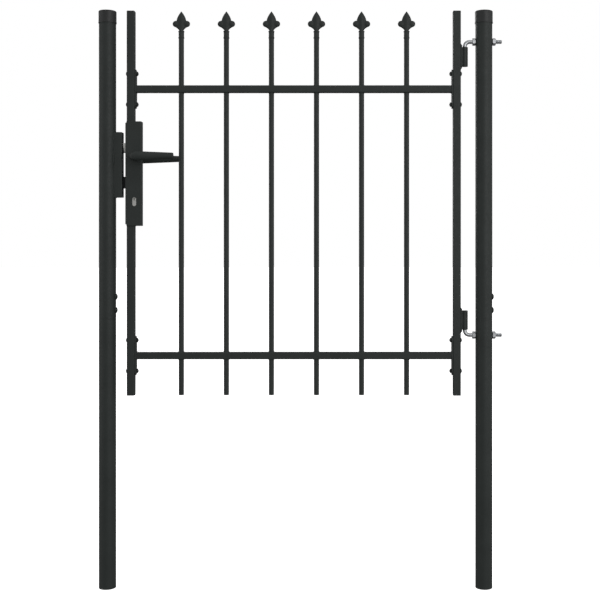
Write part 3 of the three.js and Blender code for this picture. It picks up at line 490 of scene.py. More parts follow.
def loft(stations, segments=24):
    """A closed skin that runs through rings, each given by the matrix that places a unit circle."""
    bm = bmesh.new()
    ring = bmesh.ops.create_circle(bm, cap_ends=True, segments=segments, radius=1, matrix=stations[0])["verts"]
    edges = [edge for edge in bm.edges if all(vert in ring for vert in edge.verts)]
    for before, after in zip(stations, stations[1:]):
        grown = bmesh.ops.extrude_edge_only(bm, edges=edges)["geom"]
        ring = set(of_kind(grown, bmesh.types.BMVert))
        edges = of_kind(grown, bmesh.types.BMEdge)
        edges = [edge for edge in edges if all(vert in ring for vert in edge.verts)]
        bmesh.ops.transform(bm, matrix=after @ before.inverted(), verts=list(ring))
    bmesh.ops.contextual_create(bm, geom=edges)
    return tidy(bm)


def score(bm, axis, distances):
    """Cuts rings round a bmesh across an axis, so that holes between them leave the rest alone."""
    for distance in distances:
        geometry = bm.verts[:] + bm.edges[:] + bm.faces[:]
        bmesh.ops.bisect_plane(bm, geom=geometry, plane_co=AXES[axis] * distance, plane_no=AXES[axis])
    return bm


def add_piece(name, bm, slot, body, nodes=()):
    """Makes a finished object from a bmesh: it rides on a body and stands for the design nodes named."""
    mesh = bpy.data.meshes.new(name)
    bm.to_mesh(mesh)
    bm.free()
    mesh.polygons.foreach_set("use_smooth", [True] * len(mesh.polygons))
    mesh.set_sharp_from_angle(angle=SMOOTH_ANGLE)
    mesh.materials.append(finish(slot))
    piece = bpy.data.objects.new(name, mesh)
    bpy.context.scene.collection.objects.link(piece)
    normals = piece.modifiers.new("weighted_normals", "WEIGHTED_NORMAL")
    normals.keep_sharp = True
    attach(piece, body)
    if nodes:
        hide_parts(*nodes)
    return piece


def stand_for(node, bm, slot):
    """A finished piece in place of one design node, on the same body."""
    return add_piece(f"{node}_finished", bm, slot, frame["nodes"][node]["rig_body"], [node])


# ---- posts ---------------------------------------------------------------------------------------------------


def drill_places(post):
    """Each hole in a post: its radius, its height, and whether it goes right through."""
    play = settings().shapes.drill_play
    holes = [(JOINT_SCREW_RADIUS + play, middle(f"{post}_screw_{key}").z, False) for key in SCREWS]
    if post == "hinge_post":
        return holes + [(ROD_RADIUS + play, rod_level(key), True) for key in LEVELS]
    return holes + [(KEEPER_SCREW_RADIUS + play, middle(f"keeper_screw_{key}").z, False) for key in LEVELS]


def drill_post(bm, post, bottom, top):
    """Drills a post's tube where its screws and rods go."""
    axis = post_axis(post)
    holes = [hole for hole in drill_places(post) if bottom < hole[1] < top]
    if not holes:
        return bm
    score(bm, "Z", [height + side * 9 * MM for _, height, _ in holes for side in (-1, 1)])
    reach = POST_RADIUS + 2 * MM
    tools = [bar(radius, (-reach if through else 0, reach), "X", (axis.x, 0, height), 24)
             for radius, height, through in holes]
    return combine(bm, gather(*tools))


def lower_tube(post):
    shapes = settings().shapes
    node = f"{post}_lower_tube"
    bore = POST_RADIUS - shapes.wall
    spigot = bore - shapes.drill_play
    neck = POST_JOINT - 0.1 * MM
    top = high(node).z
    profile = [
        (bore, low(node).z), (POST_RADIUS, low(node).z), (POST_RADIUS, neck), (spigot, neck), (spigot, top),
        (spigot - shapes.wall, top), (spigot - shapes.wall, neck - 3 * MM), (bore, neck - 6 * MM),
    ]
    bm = soften(turned(profile, place=post_axis(post), steps=72), shapes.burr)
    stand_for(node, drill_post(bm, post, 0, top), "powder_coat")


def upper_tube(post):
    shapes = settings().shapes
    node = f"{post}_upper_tube"
    bore = POST_RADIUS - shapes.wall
    bottom, top = low(node).z, high(node).z
    profile = [(bore, bottom), (POST_RADIUS, bottom), (POST_RADIUS, top), (bore, top)]
    bm = soften(turned(profile, place=post_axis(post), steps=72), shapes.burr)
    stand_for(node, drill_post(bm, post, bottom, top), "powder_coat")


def post_cap(post):
    """A moulded cap: a flat lid with a rounded rim, and a skirt that ends in a thicker lip."""
    shapes = settings().shapes
    node = f"{post}_cap"
    outer = extent(node).x / 2
    skirt = outer - shapes.cap_lip
    bore = POST_RADIUS + 0.2 * MM
    bottom, top = low(node).z, high(node).z
    under_lid = top - 3 * MM
    lip_top, lip_slope = bottom + 3.2 * MM, 1.2 * MM
    profile = [
        (0, under_lid), (bore, under_lid), (bore, bottom), (outer, bottom), (outer, lip_top),
        (skirt, lip_top + lip_slope), (skirt, top), (0, top),
    ]
    bm = turned(profile, place=post_axis(post), steps=72)
    rim = [edge for edge in bm.edges if all(vert.co.z > top - MM / 2 for vert in edge.verts)
           and edge.calc_face_angle(0) > SMOOTH_ANGLE]
    soften(bm, 2 * shapes.plastic_edge, 4, rim)
    soften(bm, shapes.burr, 2)
    stand_for(node, bm, "black_plastic")


def dome(radius, height, seat, steps=6):
    """Points up the outside of a shallow dome that stands on a seat, for a turned solid."""
    angles = [i / steps * math.pi / 2 for i in range(steps + 1)]
    return [(radius * math.cos(angle) if i < steps else 0, seat + height * math.sin(angle))
            for i, angle in enumerate(angles)]


def joint_screw(post, key):
    """A button-head screw with a hexagon socket, driven through both tubes."""
    node = f"{post}_screw_{key}"
    place = (post_axis(post).x, 0, middle(node).z)
    seat = POST_RADIUS - 0.4 * MM
    tip = low(node).x - place[0]
    head = extent(node).z / 2
    height = high(node).x - place[0] - seat
    shank, point = JOINT_SCREW_RADIUS, 0.8 * JOINT_SCREW_RADIUS
    profile = [(0, tip), (point, tip), (shank, tip + MM), (shank, seat), (head, seat)]
    profile += dome(head, height, seat)[1:]
    bm = turned(profile, "X", place, 32)
    socket_radius, socket_depth = 2.9 * MM, 2.2 * MM
    socket = bar(socket_radius, (seat + height - socket_depth, seat + height + MM), "X", place, 6)
    stand_for(node, combine(bm, socket), "powder_coat")


# ---- keeper --------------------------------------------------------------------------------------------------


def keeper_channel():
    """A folded channel on the latch post, with slots for both bolts."""
    shapes = settings().shapes
    bottom, face = low("keeper").z, high("keeper").x
    top, half, wall = high("keeper").z, extent("keeper").y / 2, shapes.sheet_wall
    axis = post_axis("latch_post").x
    bm = block((axis, -half, bottom), (face, half, top))
    soften(bm, 1.5 * shapes.sheet_corner, 4, edges_along(bm, "Z", lambda p: p.x > axis + MM))
    soften(bm, shapes.sheet_corner, 3, [
        edge for edge in bm.edges if edge.calc_face_angle(0) > SMOOTH_ANGLE
        and all(vert.co.x > axis + MM for vert in edge.verts)
    ])
    hollow = block((axis - MM, wall - half, bottom + wall), (face - wall, half - wall, top - wall))
    post = bar(POST_RADIUS + 0.1 * MM, (bottom - MM, top + MM), "Z", (axis, 0, 0), 72)
    bm = combine(combine(bm, hollow), post)
    through = (face - 4 * MM, face + MM)
    side, room = half - 3.8 * MM, 2.5 * MM
    tools = []
    for bolt, above in (("latch_bolt", 0), ("dead_bolt", 12 * MM)):
        bolt_low, bolt_high = bolt_head_span(bolt)
        slot = block((through[0], -side, bolt_low - room), (through[1], side, bolt_high + room + above))
        tools.append(soften(slot, 2 * MM, 3, edges_along(slot, "X")))
    for key in LEVELS:
        place = (0, 0, middle(f"keeper_screw_{key}").z)
        tools.append(bar(KEEPER_SCREW_RADIUS + shapes.drill_play, through, "X", place, 24))
    stand_for("keeper", combine(bm, gather(*tools)), "powder_coat")


def bolt_head_span(bolt):
    """Lowest and highest level of a bolt's head, as the design model has it."""
    tip = low(bolt).x + 2 * MM
    levels = [vert.co.z for vert in frame["nodes"][bolt].data.vertices if vert.co.x < tip]
    return min(levels), max(levels)


def cross_tool(span, height):
    """The tool for a screw's cross recess, along X at a height."""
    bars = [block((span[0], -reach, height - rise), (span[1], reach, height + rise))
            for reach, rise in ((2.3 * MM, 0.5 * MM), (0.5 * MM, 2.3 * MM))]
    return combine(*bars, "UNION")


def keeper_screw(key):
    """A pan-head screw with a cross recess, through the keeper into the post."""
    node = f"keeper_screw_{key}"
    place = (0, 0, middle(node).z)
    face = high("keeper").x
    head, top = extent(node).z / 2, high(node).x
    tip, point, shank = low(node).x, 1.6 * MM, KEEPER_SCREW_RADIUS
    profile = [(0, tip), (point, tip), (shank, tip + 2 * MM), (shank, face)]
    profile += dome(head, top - face, face)
    bm = turned(profile, "X", place, 32)
    stand_for(node, combine(bm, cross_tool((top - 1.1 * MM, top + MM), place[2])), "black_steel")


# ---- hinges --------------------------------------------------------------------------------------------------


def thread(start, end, place, steps=24):
    """A threaded bar along X between two distances from a place, with cut ends."""
    shapes = settings().shapes
    pitch, crest = shapes.thread_pitch, ROD_RADIUS
    root = crest - shapes.thread_depth
    turns = math.ceil((end - start) / pitch) + 2
    bm = bmesh.new()
    shape = [(root, 0), (crest, 0.42 * pitch), (crest, 0.58 * pitch), (root, pitch)]
    points = [bm.verts.new((radius, 0, along)) for radius, along in shape]
    runs = [bm.edges.new(pair) for pair in zip(points, points[1:])]
    bmesh.ops.spin(
        bm, geom=points + runs, cent=(0, 0, 0), axis=UP, angle=FULL_TURN * turns, steps=steps * turns,
        dvec=(0, 0, pitch / steps),
    )
    bmesh.ops.remove_doubles(bm, verts=bm.verts, dist=0.01 * MM)
    shift = Matrix.Translation((0, 0, start - pitch))
    bmesh.ops.transform(bm, matrix=facing("X", place) @ shift, verts=bm.verts)
    for distance, normal in ((start, -1), (end, 1)):
        cut = bmesh.ops.bisect_plane(
            bm, geom=bm.verts[:] + bm.edges[:] + bm.faces[:], plane_co=(place[0] + distance, 0, 0),
            plane_no=(normal, 0, 0), clear_outer=True,
        )["geom_cut"]
        rim = [edge for edge in of_kind(cut, bmesh.types.BMEdge) if edge.is_boundary]
        bmesh.ops.contextual_create(bm, geom=rim)
    bmesh.ops.recalc_face_normals(bm, faces=bm.faces)
    return bm


def hinge_rod(key):
    """The bent rod: a plain leg on the hinge axis, a bend, and a threaded tail through the post."""
    node = f"hinge_bolt_{key}"
    side = -1 if key == "top" else 1
    post = post_axis("hinge_post").x
    rod_height = rod_level(key)
    leg_end = low(node).z if side < 0 else high(node).z
    bend = 12 * MM
    axis = HINGE_AXIS.x
    chamfer = MM
    stations = [
        ring_at((axis, 0, leg_end), UP * -side, AXES["Y"], ROD_RADIUS - chamfer),
        ring_at((axis, 0, leg_end - side * chamfer), UP * -side, AXES["Y"], ROD_RADIUS),
    ]
    for i in range(13):
        angle = i / 12 * math.pi / 2
        place = (axis + bend * (1 - math.cos(angle)), 0, rod_height + side * bend * (1 - math.sin(angle)))
        forward = (math.sin(angle), 0, -side * math.cos(angle))
        stations.append(ring_at(place, forward, AXES["Y"], ROD_RADIUS))
    inner_nut = low(f"hinge_nut_{key}_inner").x
    core = ROD_RADIUS - chamfer  # inside the thread's root, where the plain rod ends
    for x, radius in ((inner_nut - MM, ROD_RADIUS), (inner_nut + 3 * MM, ROD_RADIUS), (post, core)):
        stations.append(ring_at((x, 0, rod_height), AXES["X"], AXES["Y"], radius))
    plain = loft(stations, 32)
    length = high(node).x - post
    start, nose, cut = -4 * MM, ROD_RADIUS + 0.1 * MM, 1.5 * MM
    profile = [(0, start), (nose, start), (nose, length - cut), (nose - cut, length), (0, length)]
    trim = turned(profile, "X", (post, 0, rod_height), 32)
    tail = combine(thread(-2 * MM, length + MM, (post, 0, rod_height)), trim, "INTERSECT")
    stand_for(node, combine(plain, tail, "UNION"), "zinc_plate")


def hexagon_nut(flats, span, axis, place, bore, turn=0.0):
    """A hexagon nut: its corners are cut back by a cone at both ends, and its bore is countersunk."""
    corner = flats / math.sqrt(3)
    prism = bar(corner, (span[0] - MM, span[1] + MM), axis, place, 6)
    spin = Matrix.Rotation(turn, 4, AXES[axis])
    centre = Matrix.Translation(place)
    bmesh.ops.transform(prism, matrix=centre @ spin @ centre.inverted(), verts=prism.verts)
    bottom, top = span
    land, girth = 0.96 * flats / 2, 1.02 * corner
    drop = 0.7 * (corner - land)
    cone = [(0, bottom), (land, bottom), (girth, bottom + drop), (girth, top - drop), (land, top), (0, top)]
    nut = combine(prism, turned(cone, axis, place, 36), "INTERSECT")
    sink = 0.8 * MM
    mouth = bore + sink + MM
    hole = [
        (0, bottom - MM), (mouth, bottom - MM), (bore, bottom + sink),
        (bore, top - sink), (mouth, top + MM), (0, top + MM),
    ]
    return combine(nut, turned(hole, axis, place, 32))


def hinge_nut(key, side):
    node = f"hinge_nut_{key}_{side}"
    span = (low(node).x, high(node).x)
    nut = hexagon_nut(HINGE_NUT_FLATS, span, "X", (0, 0, middle(node).z), ROD_RADIUS, math.pi / 6)
    stand_for(node, nut, "zinc_plate")


def barrel_ends(key, inset=0):
    """Bottom and top of a hinge barrel's eye, which lies below the top rod and above the bottom one."""
    side = -1 if key == "top" else 1
    near, far = BARREL_SPAN
    return sorted((rod_level(key) + side * (near + inset), rod_level(key) + side * (far - inset)))


def hinge_barrel(key):
    """A barrel with a bored eye, standing on its plate."""
    shapes = settings().shapes
    node = f"hinge_barrel_{key}"
    radius = high(node).x - HINGE_AXIS.x
    bore = ROD_RADIUS + shapes.drill_play
    bottom, top = barrel_ends(key)
    profile = [(bore, bottom), (radius, bottom), (radius, top), (bore, top)]
    eye = soften(turned(profile, place=(HINGE_AXIS.x, 0, 0)), shapes.burr)
    front = HINGE_AXIS.x - radius + 0.2 * MM
    plate = block((low(node).x, -STILE_SIZE / 2, low(node).z), (front, STILE_SIZE / 2, high(node).z))
    taper = 2.5 * MM
    for vert in plate.verts:
        if vert.co.x > front - MM / 2:
            vert.co.z += taper if vert.co.z < middle(node).z else -taper
    soften(plate, shapes.burr)
    stand_for(node, gather(eye, plate), "powder_coat")


# ---- leaf ----------------------------------------------------------------------------------------------------


def rolled_sides(half, corner, span):
    """The four sides of a square bar along Z with rolled corners, open at both ends."""
    bm = block((-half, -half, span[0]), (half, half, span[1]))
    soften(bm, corner, 5, edges_along(bm, "Z"))
    ends = [face for face in bm.faces if abs(face.normal.z) > 0.5]
    bmesh.ops.delete(bm, geom=ends, context="FACES_ONLY")
    return bm


def square_tube(size, wall, corner, span, axis, place):
    """A square tube with rolled corners, along an axis."""
    outside = rolled_sides(size / 2, corner, span)
    bore = rolled_sides(size / 2 - wall, max(corner - wall, 0.5 * MM), span)
    bmesh.ops.reverse_faces(bore, faces=bore.faces)
    bm = gather(outside, bore)
    rims = [edge for edge in bm.edges if edge.is_boundary]
    for level in span:
        loop = [edge for edge in rims if all(abs(vert.co.z - level) < MM / 10 for vert in edge.verts)]
        bmesh.ops.bridge_loops(bm, edges=loop)
    tidy(bm)
    bmesh.ops.transform(bm, matrix=facing(axis, place), verts=bm.verts)
    return bm


def rail_bolt_nodes(end):
    return [f"rail_bolt_{level}_{end}_{rise}" for level in LEVELS for rise in ("lower", "upper")]


def stile(end):
    """A stile with its bolt holes and, on the latch side, the window for the lock."""
    shapes = settings().shapes
    node = f"stile_{end}"
    span = (low(node).z, high(node).z)
    centre = middle(node)
    bm = square_tube(STILE_SIZE, shapes.wall, shapes.tube_corner, span, "Z", (centre.x, 0, 0))
    heights = [middle(bolt).z for bolt in rail_bolt_nodes(end)]
    reach = (-STILE_SIZE, STILE_SIZE)
    score(bm, "Z", [height + side * 8 * MM for height in heights for side in (-1, 1)])
    hole = RAIL_BOLT_RADIUS + shapes.drill_play
    tools = [bar(hole, reach, "X", (centre.x, 0, height), 24) for height in heights]
    if end == "latch":
        case = lock_case_span()
        score(bm, "Z", [case[0] - 4 * MM, case[1] + 4 * MM])
        window = 8.5 * MM
        tools.append(block((centre.x - STILE_SIZE, -window, case[0]), (centre.x + STILE_SIZE, window, case[1])))
    stand_for(node, combine(bm, gather(*tools)), "powder_coat")


def stile_plug(end, level):
    """A moulded end plug: a square head with rounded edges, and its stub inside the tube."""
    shapes = settings().shapes
    node = f"stile_{end}_plug_{level}"
    side = 1 if level == "top" else -1
    outer = high(node).z if side > 0 else low(node).z
    inner = low(node).z if side > 0 else high(node).z
    seat = outer - side * 2 * MM
    centre, half, stub = middle(node), STILE_SIZE / 2, STILE_SIZE / 2 - shapes.wall - shapes.drill_play
    head = block((centre.x - half, -half, min(seat, outer)), (centre.x + half, half, max(seat, outer)))
    soften(head, shapes.tube_corner, 4, edges_along(head, "Z"))
    crown = [edge for edge in head.edges if all(abs(vert.co.z - outer) < MM / 10 for vert in edge.verts)
             and edge.calc_face_angle(0) > SMOOTH_ANGLE]
    soften(head, shapes.plastic_edge, 3, crown)
    shaft = block((centre.x - stub, -stub, min(inner, seat)), (centre.x + stub, stub, max(inner, seat)))
    soften(shaft, 0.6 * MM, 2, edges_along(shaft, "Z"))
    stand_for(node, gather(head, shaft), "black_plastic")


def end_plate(x0, x1, height, length):
    """An upright plate with round ends."""
    shapes = settings().shapes
    half = STILE_SIZE / 2
    bm = block((x0, -half, height - length / 2), (x1, half, height + length / 2))
    soften(bm, half - 0.05 * MM, 10, edges_along(bm, "X"))
    return soften(bm, shapes.burr)


def rail(level):
    """A square rail between its two end plates, with holes for the pickets and the bolts."""
    shapes = settings().shapes
    node = f"rail_{level}"
    height = middle(node).z
    x0, x1 = low(node).x, high(node).x
    size = rail_size(node)
    run = (x0 + END_PLATE, x1 - END_PLATE)
    tube = square_tube(size, shapes.wall, shapes.tube_corner, run, "X", (0, 0, height))
    places = [middle(f"picket_{number}").x for number in PICKETS]
    score(tube, "X", [x + side * 10 * MM for x in places for side in (-1, 1)])
    tools = [bar(PICKET_RADIUS + shapes.drill_play, (-size, size), "Z", (x, 0, height), 32) for x in places]
    tube = combine(tube, gather(*tools))
    plates = []
    hole = RAIL_BOLT_RADIUS + shapes.drill_play
    for end, span in (("latch", (x0, x0 + END_PLATE)), ("hinge", (x1 - END_PLATE, x1))):
        plate = end_plate(*span, height, extent(node).z)
        heights = [middle(f"rail_bolt_{level}_{end}_{rise}").z for rise in ("lower", "upper")]
        holes = [bar(hole, (span[0] - MM, span[1] + MM), "X", (0, 0, z), 24) for z in heights]
        plates.append(combine(plate, gather(*holes)))
    stand_for(node, gather(tube, *plates), "powder_coat")


def rail_size(node):
    """Width of a rail's tube: the extent of the design vertices well away from its end plates."""
    centre = middle(node).x
    levels = [vert.co.z for vert in frame["nodes"][node].data.vertices if abs(vert.co.x - centre) < 0.3]
    return max(levels) - min(levels)


def rail_bolt(node):
    """A carriage bolt with its domed head outside and its nut on the end plate."""
    latch_side = "_latch_" in node
    start, end = (low(node).x, high(node).x) if latch_side else (high(node).x, low(node).x)
    way = 1 if latch_side else -1
    place = (start, 0, middle(node).z)
    length = abs(end - start)
    head_height, head = 3.6 * MM, 6.25 * MM
    shank, chamfer = RAIL_BOLT_RADIUS, 0.6 * MM
    cap = [(radius, head_height - along) for radius, along in reversed(dome(head, head_height, 0, 8))]
    profile = cap + [(shank, head_height), (shank, length - chamfer), (shank - chamfer, length), (0, length)]
    bolt = turned(profile, steps=32)
    nut_span = (length - 5.5 * MM, length - 1.3 * MM)
    nut = hexagon_nut(RAIL_NUT_FLATS, nut_span, "Z", (0, 0, 0), shank - 0.05 * MM, math.pi / 6)
    bm = gather(bolt, nut)
    turn = Matrix.Rotation(way * math.pi / 2, 4, "Y")
    bmesh.ops.transform(bm, matrix=Matrix.Translation(place) @ turn, verts=bm.verts)
    stand_for(node, bm, "powder_coat")


def picket(number):
    shapes = settings().shapes
    node = f"picket_{number}"
    bore = PICKET_RADIUS - shapes.picket_wall
    bottom, top = low(node).z, high(node).z
    bm = turned([(bore, bottom), (PICKET_RADIUS, bottom), (PICKET_RADIUS, top), (bore, top)],
                place=(middle(node).x, 0, 0), steps=40)
    stand_for(node, soften(bm, shapes.burr / 2), "powder_coat")


SPEAR_HEIGHT = 51.7 * MM
COLLAR_HEIGHT = 19 * MM
LOBE_RADIUS = 8.3 * MM
LOBE_OUT = 14.4 * MM
LOBE_RISE = 18.7 * MM
NECK_HALF = 5.4 * MM
WEB_FLARE = 11 * MM  # how far the web between neck and ears widens, over its height
WEB_HEIGHT = 11 * MM
LEAF_HALF = 12.4 * MM
LEAF_START = 27.8 * MM
LEAF_THICK = 4.5 * MM  # half thickness of the spear's ridge
FOOT_THICK = 5.4 * MM  # and of its foot, over the foot's height
FOOT_HEIGHT = 9 * MM
TIP_HEIGHT = 16 * MM  # the spear thins to its point over this height


def spear_half_width(rise):
    """Half width of the spear at a rise above its collar."""
    lobe = LOBE_RADIUS**2 - (rise - LOBE_RISE) ** 2
    ear = LOBE_OUT + math.sqrt(lobe) if lobe > 0 else 0
    if rise < LOBE_RISE:
        share = min(rise / WEB_HEIGHT, 1)
        return max(NECK_HALF + WEB_FLARE * share**1.8, ear)
    share = max(rise - LEAF_START, 0) / (SPEAR_HEIGHT - LEAF_START)
    leaf = LEAF_HALF * (1 - share**1.55)
    return max(leaf, ear)


def spear_half_thickness(out, rise, width):
    """Half thickness of the casting at a point: a ridged leaf, with a ball in each ear."""
    core = width if rise < WEB_HEIGHT else min(width, LEAF_HALF)
    share = min(abs(out) / max(core, 1e-9), 1)
    foot = max(0.0, 1 - rise / FOOT_HEIGHT)
    tip = min(1, (SPEAR_HEIGHT - rise) / TIP_HEIGHT) ** 0.6
    leaf = (LEAF_THICK * (1 - foot) + FOOT_THICK * foot) * (1 - share) ** 0.55 * tip
    ball = LOBE_RADIUS**2 - (abs(out) - LOBE_OUT) ** 2 - (rise - LOBE_RISE) ** 2
    ear = math.sqrt(ball) * 0.5 if ball > 0 else 0
    return max(leaf, ear)


def finial(number):
    """A cast spear with two ball ears, on a collar with a ring at each end."""
    node = f"finial_{number}"
    centre = middle(node).x
    collar_top = high(node).z - SPEAR_HEIGHT
    collar_foot = collar_top - COLLAR_HEIGHT
    spear_foot = collar_top - 0.02 * MM  # just inside the collar
    front = bmesh.new()
    columns, rows = 28, 60
    bmesh.ops.create_grid(front, x_segments=columns, y_segments=rows, size=1)
    for vert in front.verts:
        share, rise = vert.co.x, (vert.co.y + 1) / 2 * SPEAR_HEIGHT
        width = spear_half_width(rise)
        out = share * width
        edge = abs(share) > 0.999 or rise > SPEAR_HEIGHT - 1e-7
        depth = 0 if edge else spear_half_thickness(out, rise, width)
        vert.co = (centre + out, -depth, spear_foot + rise)
    inner = [vert for vert in front.verts if not vert.is_boundary]
    for _ in range(3):
        bmesh.ops.smooth_vert(front, verts=inner, factor=0.5, use_axis_y=True)
    spear = gather(front)
    mirrored = bmesh.ops.duplicate(spear, geom=spear.verts[:] + spear.edges[:] + spear.faces[:])["geom"]
    bmesh.ops.scale(spear, vec=(1, -1, 1), verts=of_kind(mirrored, bmesh.types.BMVert))
    tidy(spear)
    rim = [edge for edge in spear.edges if edge.is_boundary]
    bmesh.ops.contextual_create(spear, geom=rim)
    bmesh.ops.recalc_face_normals(spear, faces=spear.faces)
    ring, waist = PICKET_RADIUS + 1.1 * MM, PICKET_RADIUS + 0.3 * MM
    stub = PICKET_RADIUS - 1.5 * MM
    band = 2.8 * MM
    waist_foot, waist_top = collar_foot + band, collar_top - band
    profile = [
        (0, low(node).z), (stub, low(node).z), (stub, collar_foot), (ring, collar_foot), (ring, waist_foot),
        (waist, waist_foot), (waist, waist_top), (ring, waist_top), (ring, collar_top), (0, collar_top),
    ]
    collar = soften(turned(profile, place=(centre, 0, 0), steps=40), MM, 3)
    stand_for(node, gather(spear, collar), "powder_coat")


# ---- lock ----------------------------------------------------------------------------------------------------


def lock_case_span():
    """Bottom and top of the lock case's box, inside the stile."""
    return SPINDLE.z - 137 * MM, SPINDLE.z + 46 * MM


def cylinder_tool(grow, half_depth):
    """The key cylinder's upright shape with round ends, grown a little, for the housing and its holes."""
    node = "cylinder_housing"
    lowest, highest = low(node), high(node)
    bm = block(
        (lowest.x - grow, -half_depth, lowest.z - grow), (highest.x + grow, half_depth, highest.z + grow)
    )
    return soften(bm, (highest.x - lowest.x) / 2 + grow - 0.03 * MM, 8, edges_along(bm, "Y"))


def lock_box():
    """The folded and welded box round the stile, open towards the keeper."""
    shapes = settings().shapes
    node = "lock_box"
    lowest, highest, wall = low(node), high(node), shapes.sheet_wall
    half = BOX_HALF_DEPTH
    bm = block(lowest, highest)
    soften(bm, shapes.sheet_corner, 4, edges_along(bm, "Z", lambda p: p.x > middle(node).x))
    soften(bm, 0.8 * MM, 3, [edge for edge in bm.edges if edge.calc_face_angle(0) > SMOOTH_ANGLE
                             and any(vert.co.x > lowest.x + MM for vert in edge.verts)])
    inside = block(
        (lowest.x - MM, wall - half, lowest.z + wall), (highest.x - wall, half - wall, highest.z - wall)
    )
    bore = half - wall
    sleeve = block(
        (lowest.x - MM, -bore, lowest.z - MM), (high("stile_latch").x + 0.3 * MM, bore, highest.z + MM)
    )
    bm = combine(combine(bm, inside), sleeve)
    spindle = bar(SPINDLE_HOLE, (-2 * half, 2 * half), "Y", SPINDLE, 32)
    bm = combine(bm, gather(spindle, cylinder_tool(0.3 * MM, 2 * half)))
    stand_for(node, bm, "powder_coat")


def lock_case():
    """The case in the stile with its forend, a plate with rounded corners that both bolts pass."""
    shapes = settings().shapes
    node = "lock_case"
    lowest, highest = low(node), high(node)
    back = low("stile_latch").x - 0.05 * MM
    forend = block(lowest, (back, highest.y, highest.z))
    soften(forend, 2.4 * MM, 5, edges_along(forend, "Y", lambda p: p.x < lowest.x + MM))
    soften(forend, shapes.burr, 2)
    tools = []
    play = shapes.drill_play
    for bolt in ("latch_bolt", "dead_bolt"):
        bolt_low, bolt_high = bolt_head_span(bolt)
        half = extent(bolt).y / 2 + play
        tools.append(block((lowest.x - MM, -half, bolt_low - play), (back + 3 * MM, half, bolt_high + play)))
    mouth, head, shank, sink, depth = 4.4 * MM, 4 * MM, 2.2 * MM, 1.8 * MM, 6 * MM
    profile = [(0, -MM), (mouth, -MM), (head, 0), (shank, sink), (shank, depth), (0, depth)]
    tools += [turned(profile, "X", (lowest.x, 0, SPINDLE.z + level), 32) for level in FOREND_SCREWS]
    forend = combine(forend, gather(*tools))
    bottom, top = lock_case_span()
    side, wall = 8 * MM, 1.2 * MM
    shell = block((back + 0.05 * MM, -side, bottom), (highest.x, side, top))
    inner = block((back - MM, wall - side, bottom + wall), (highest.x - wall, side - wall, top - wall))
    shell = combine(shell, inner)
    spindle = bar(SPINDLE_HOLE, (-2 * side, 2 * side), "Y", SPINDLE, 32)
    shell = combine(shell, gather(spindle, cylinder_tool(0.3 * MM, 2 * side)))
    stand_for(node, gather(forend, shell), "powder_coat")


def forend_screws():
    """The two countersunk screws that hold the forend."""
    face = low("lock_case").x
    parts = []
    top, head, shank, cone, length = 0.15 * MM, 3.9 * MM, 2 * MM, 2 * MM, 12 * MM
    profile = [(0, top), (head, top), (shank, cone), (shank, length), (0, length)]
    for level in FOREND_SCREWS:
        height = SPINDLE.z + level
        screw = turned(profile, "X", (face, 0, height), 32)
        parts.append(combine(screw, cross_tool((face - MM, face + 1.2 * MM), height)))
    add_piece("forend_screws", gather(*parts), "black_steel", "leaf")


def cylinder_housing():
    """The key cylinder's housing, right through the lock, with the gap where its cam turns."""
    node = "cylinder_housing"
    half = extent(node).y / 2
    bm = soften(cylinder_tool(0, half), 0.3 * MM)
    bore = bar(3.9 * MM, (-2 * half, 2 * half), "Y", PLUG_AXIS, 32)
    gap = bar(8 * MM, (-4.1 * MM, 4.1 * MM), "Y", PLUG_AXIS, 32)
    stand_for(node, combine(combine(bm, bore), gap), "nickel_plate")


def cylinder_plug():
    """The plug that the key turns: a key slot in each end, and the cam with its finger."""
    node = "cylinder_plug"
    half = extent(node).y / 2
    radius, chamfer = 3.6 * MM, 0.3 * MM
    profile = [
        (0, -half), (radius - chamfer, -half), (radius, chamfer - half),
        (radius, half - chamfer), (radius - chamfer, half), (0, half),
    ]
    core = turned(profile, "Y", PLUG_AXIS, 40)
    cam_radius, cam_half = 6 * MM, 3.5 * MM
    cam = bar(cam_radius, (-cam_half, cam_half), "Y", PLUG_AXIS, 40)
    finger_half, finger_reach = 1.6 * MM, 14 * MM
    finger = block((-finger_half, -cam_half, 0), (finger_half, cam_half, finger_reach))
    place = Matrix.Translation(PLUG_AXIS) @ Matrix.Rotation(-math.pi / 4, 4, "Y")
    bmesh.ops.transform(finger, matrix=place, verts=finger.verts)
    body = combine(combine(core, cam, "UNION"), finger, "UNION")
    slot_half, slot_depth = 1.1 * MM, 8 * MM
    slots = []
    for side in (-1, 1):
        near, far = sorted((side * (half - slot_depth), side * (half + MM)))
        bottom, top = PLUG_AXIS.z - 2.6 * MM, PLUG_AXIS.z + 3.3 * MM
        slots.append(block((PLUG_AXIS.x - slot_half, near, bottom), (PLUG_AXIS.x + slot_half, far, top)))
    stand_for(node, combine(body, gather(*slots)), "nickel_plate")


def latch_bolt():
    """The sprung latch bolt: bevelled towards the closing side, with the hook that the follower's arm draws."""
    node = "latch_bolt"
    bottom, top = bolt_head_span(node)
    tip, half = low(node).x, extent(node).y / 2
    rear = low("stile_latch").x + MM
    bm = block((tip, -half, bottom), (rear, half, top))
    nose, shoulder = half - 3 * MM, tip + 9 * MM
    for vert in bm.verts:
        if vert.co.x < tip + MM and vert.co.y < 0:
            vert.co.y = nose
    score(bm, "X", [shoulder])
    for vert in bm.verts:
        if abs(vert.co.x - shoulder) < MERGE_DISTANCE and vert.co.y < half - MERGE_DISTANCE:
            vert.co.y = -half
    soften(bm, 0.7 * MM, 3)
    stand_for(node, combine(bm, latch_tail(), "UNION"), "nickel_plate")


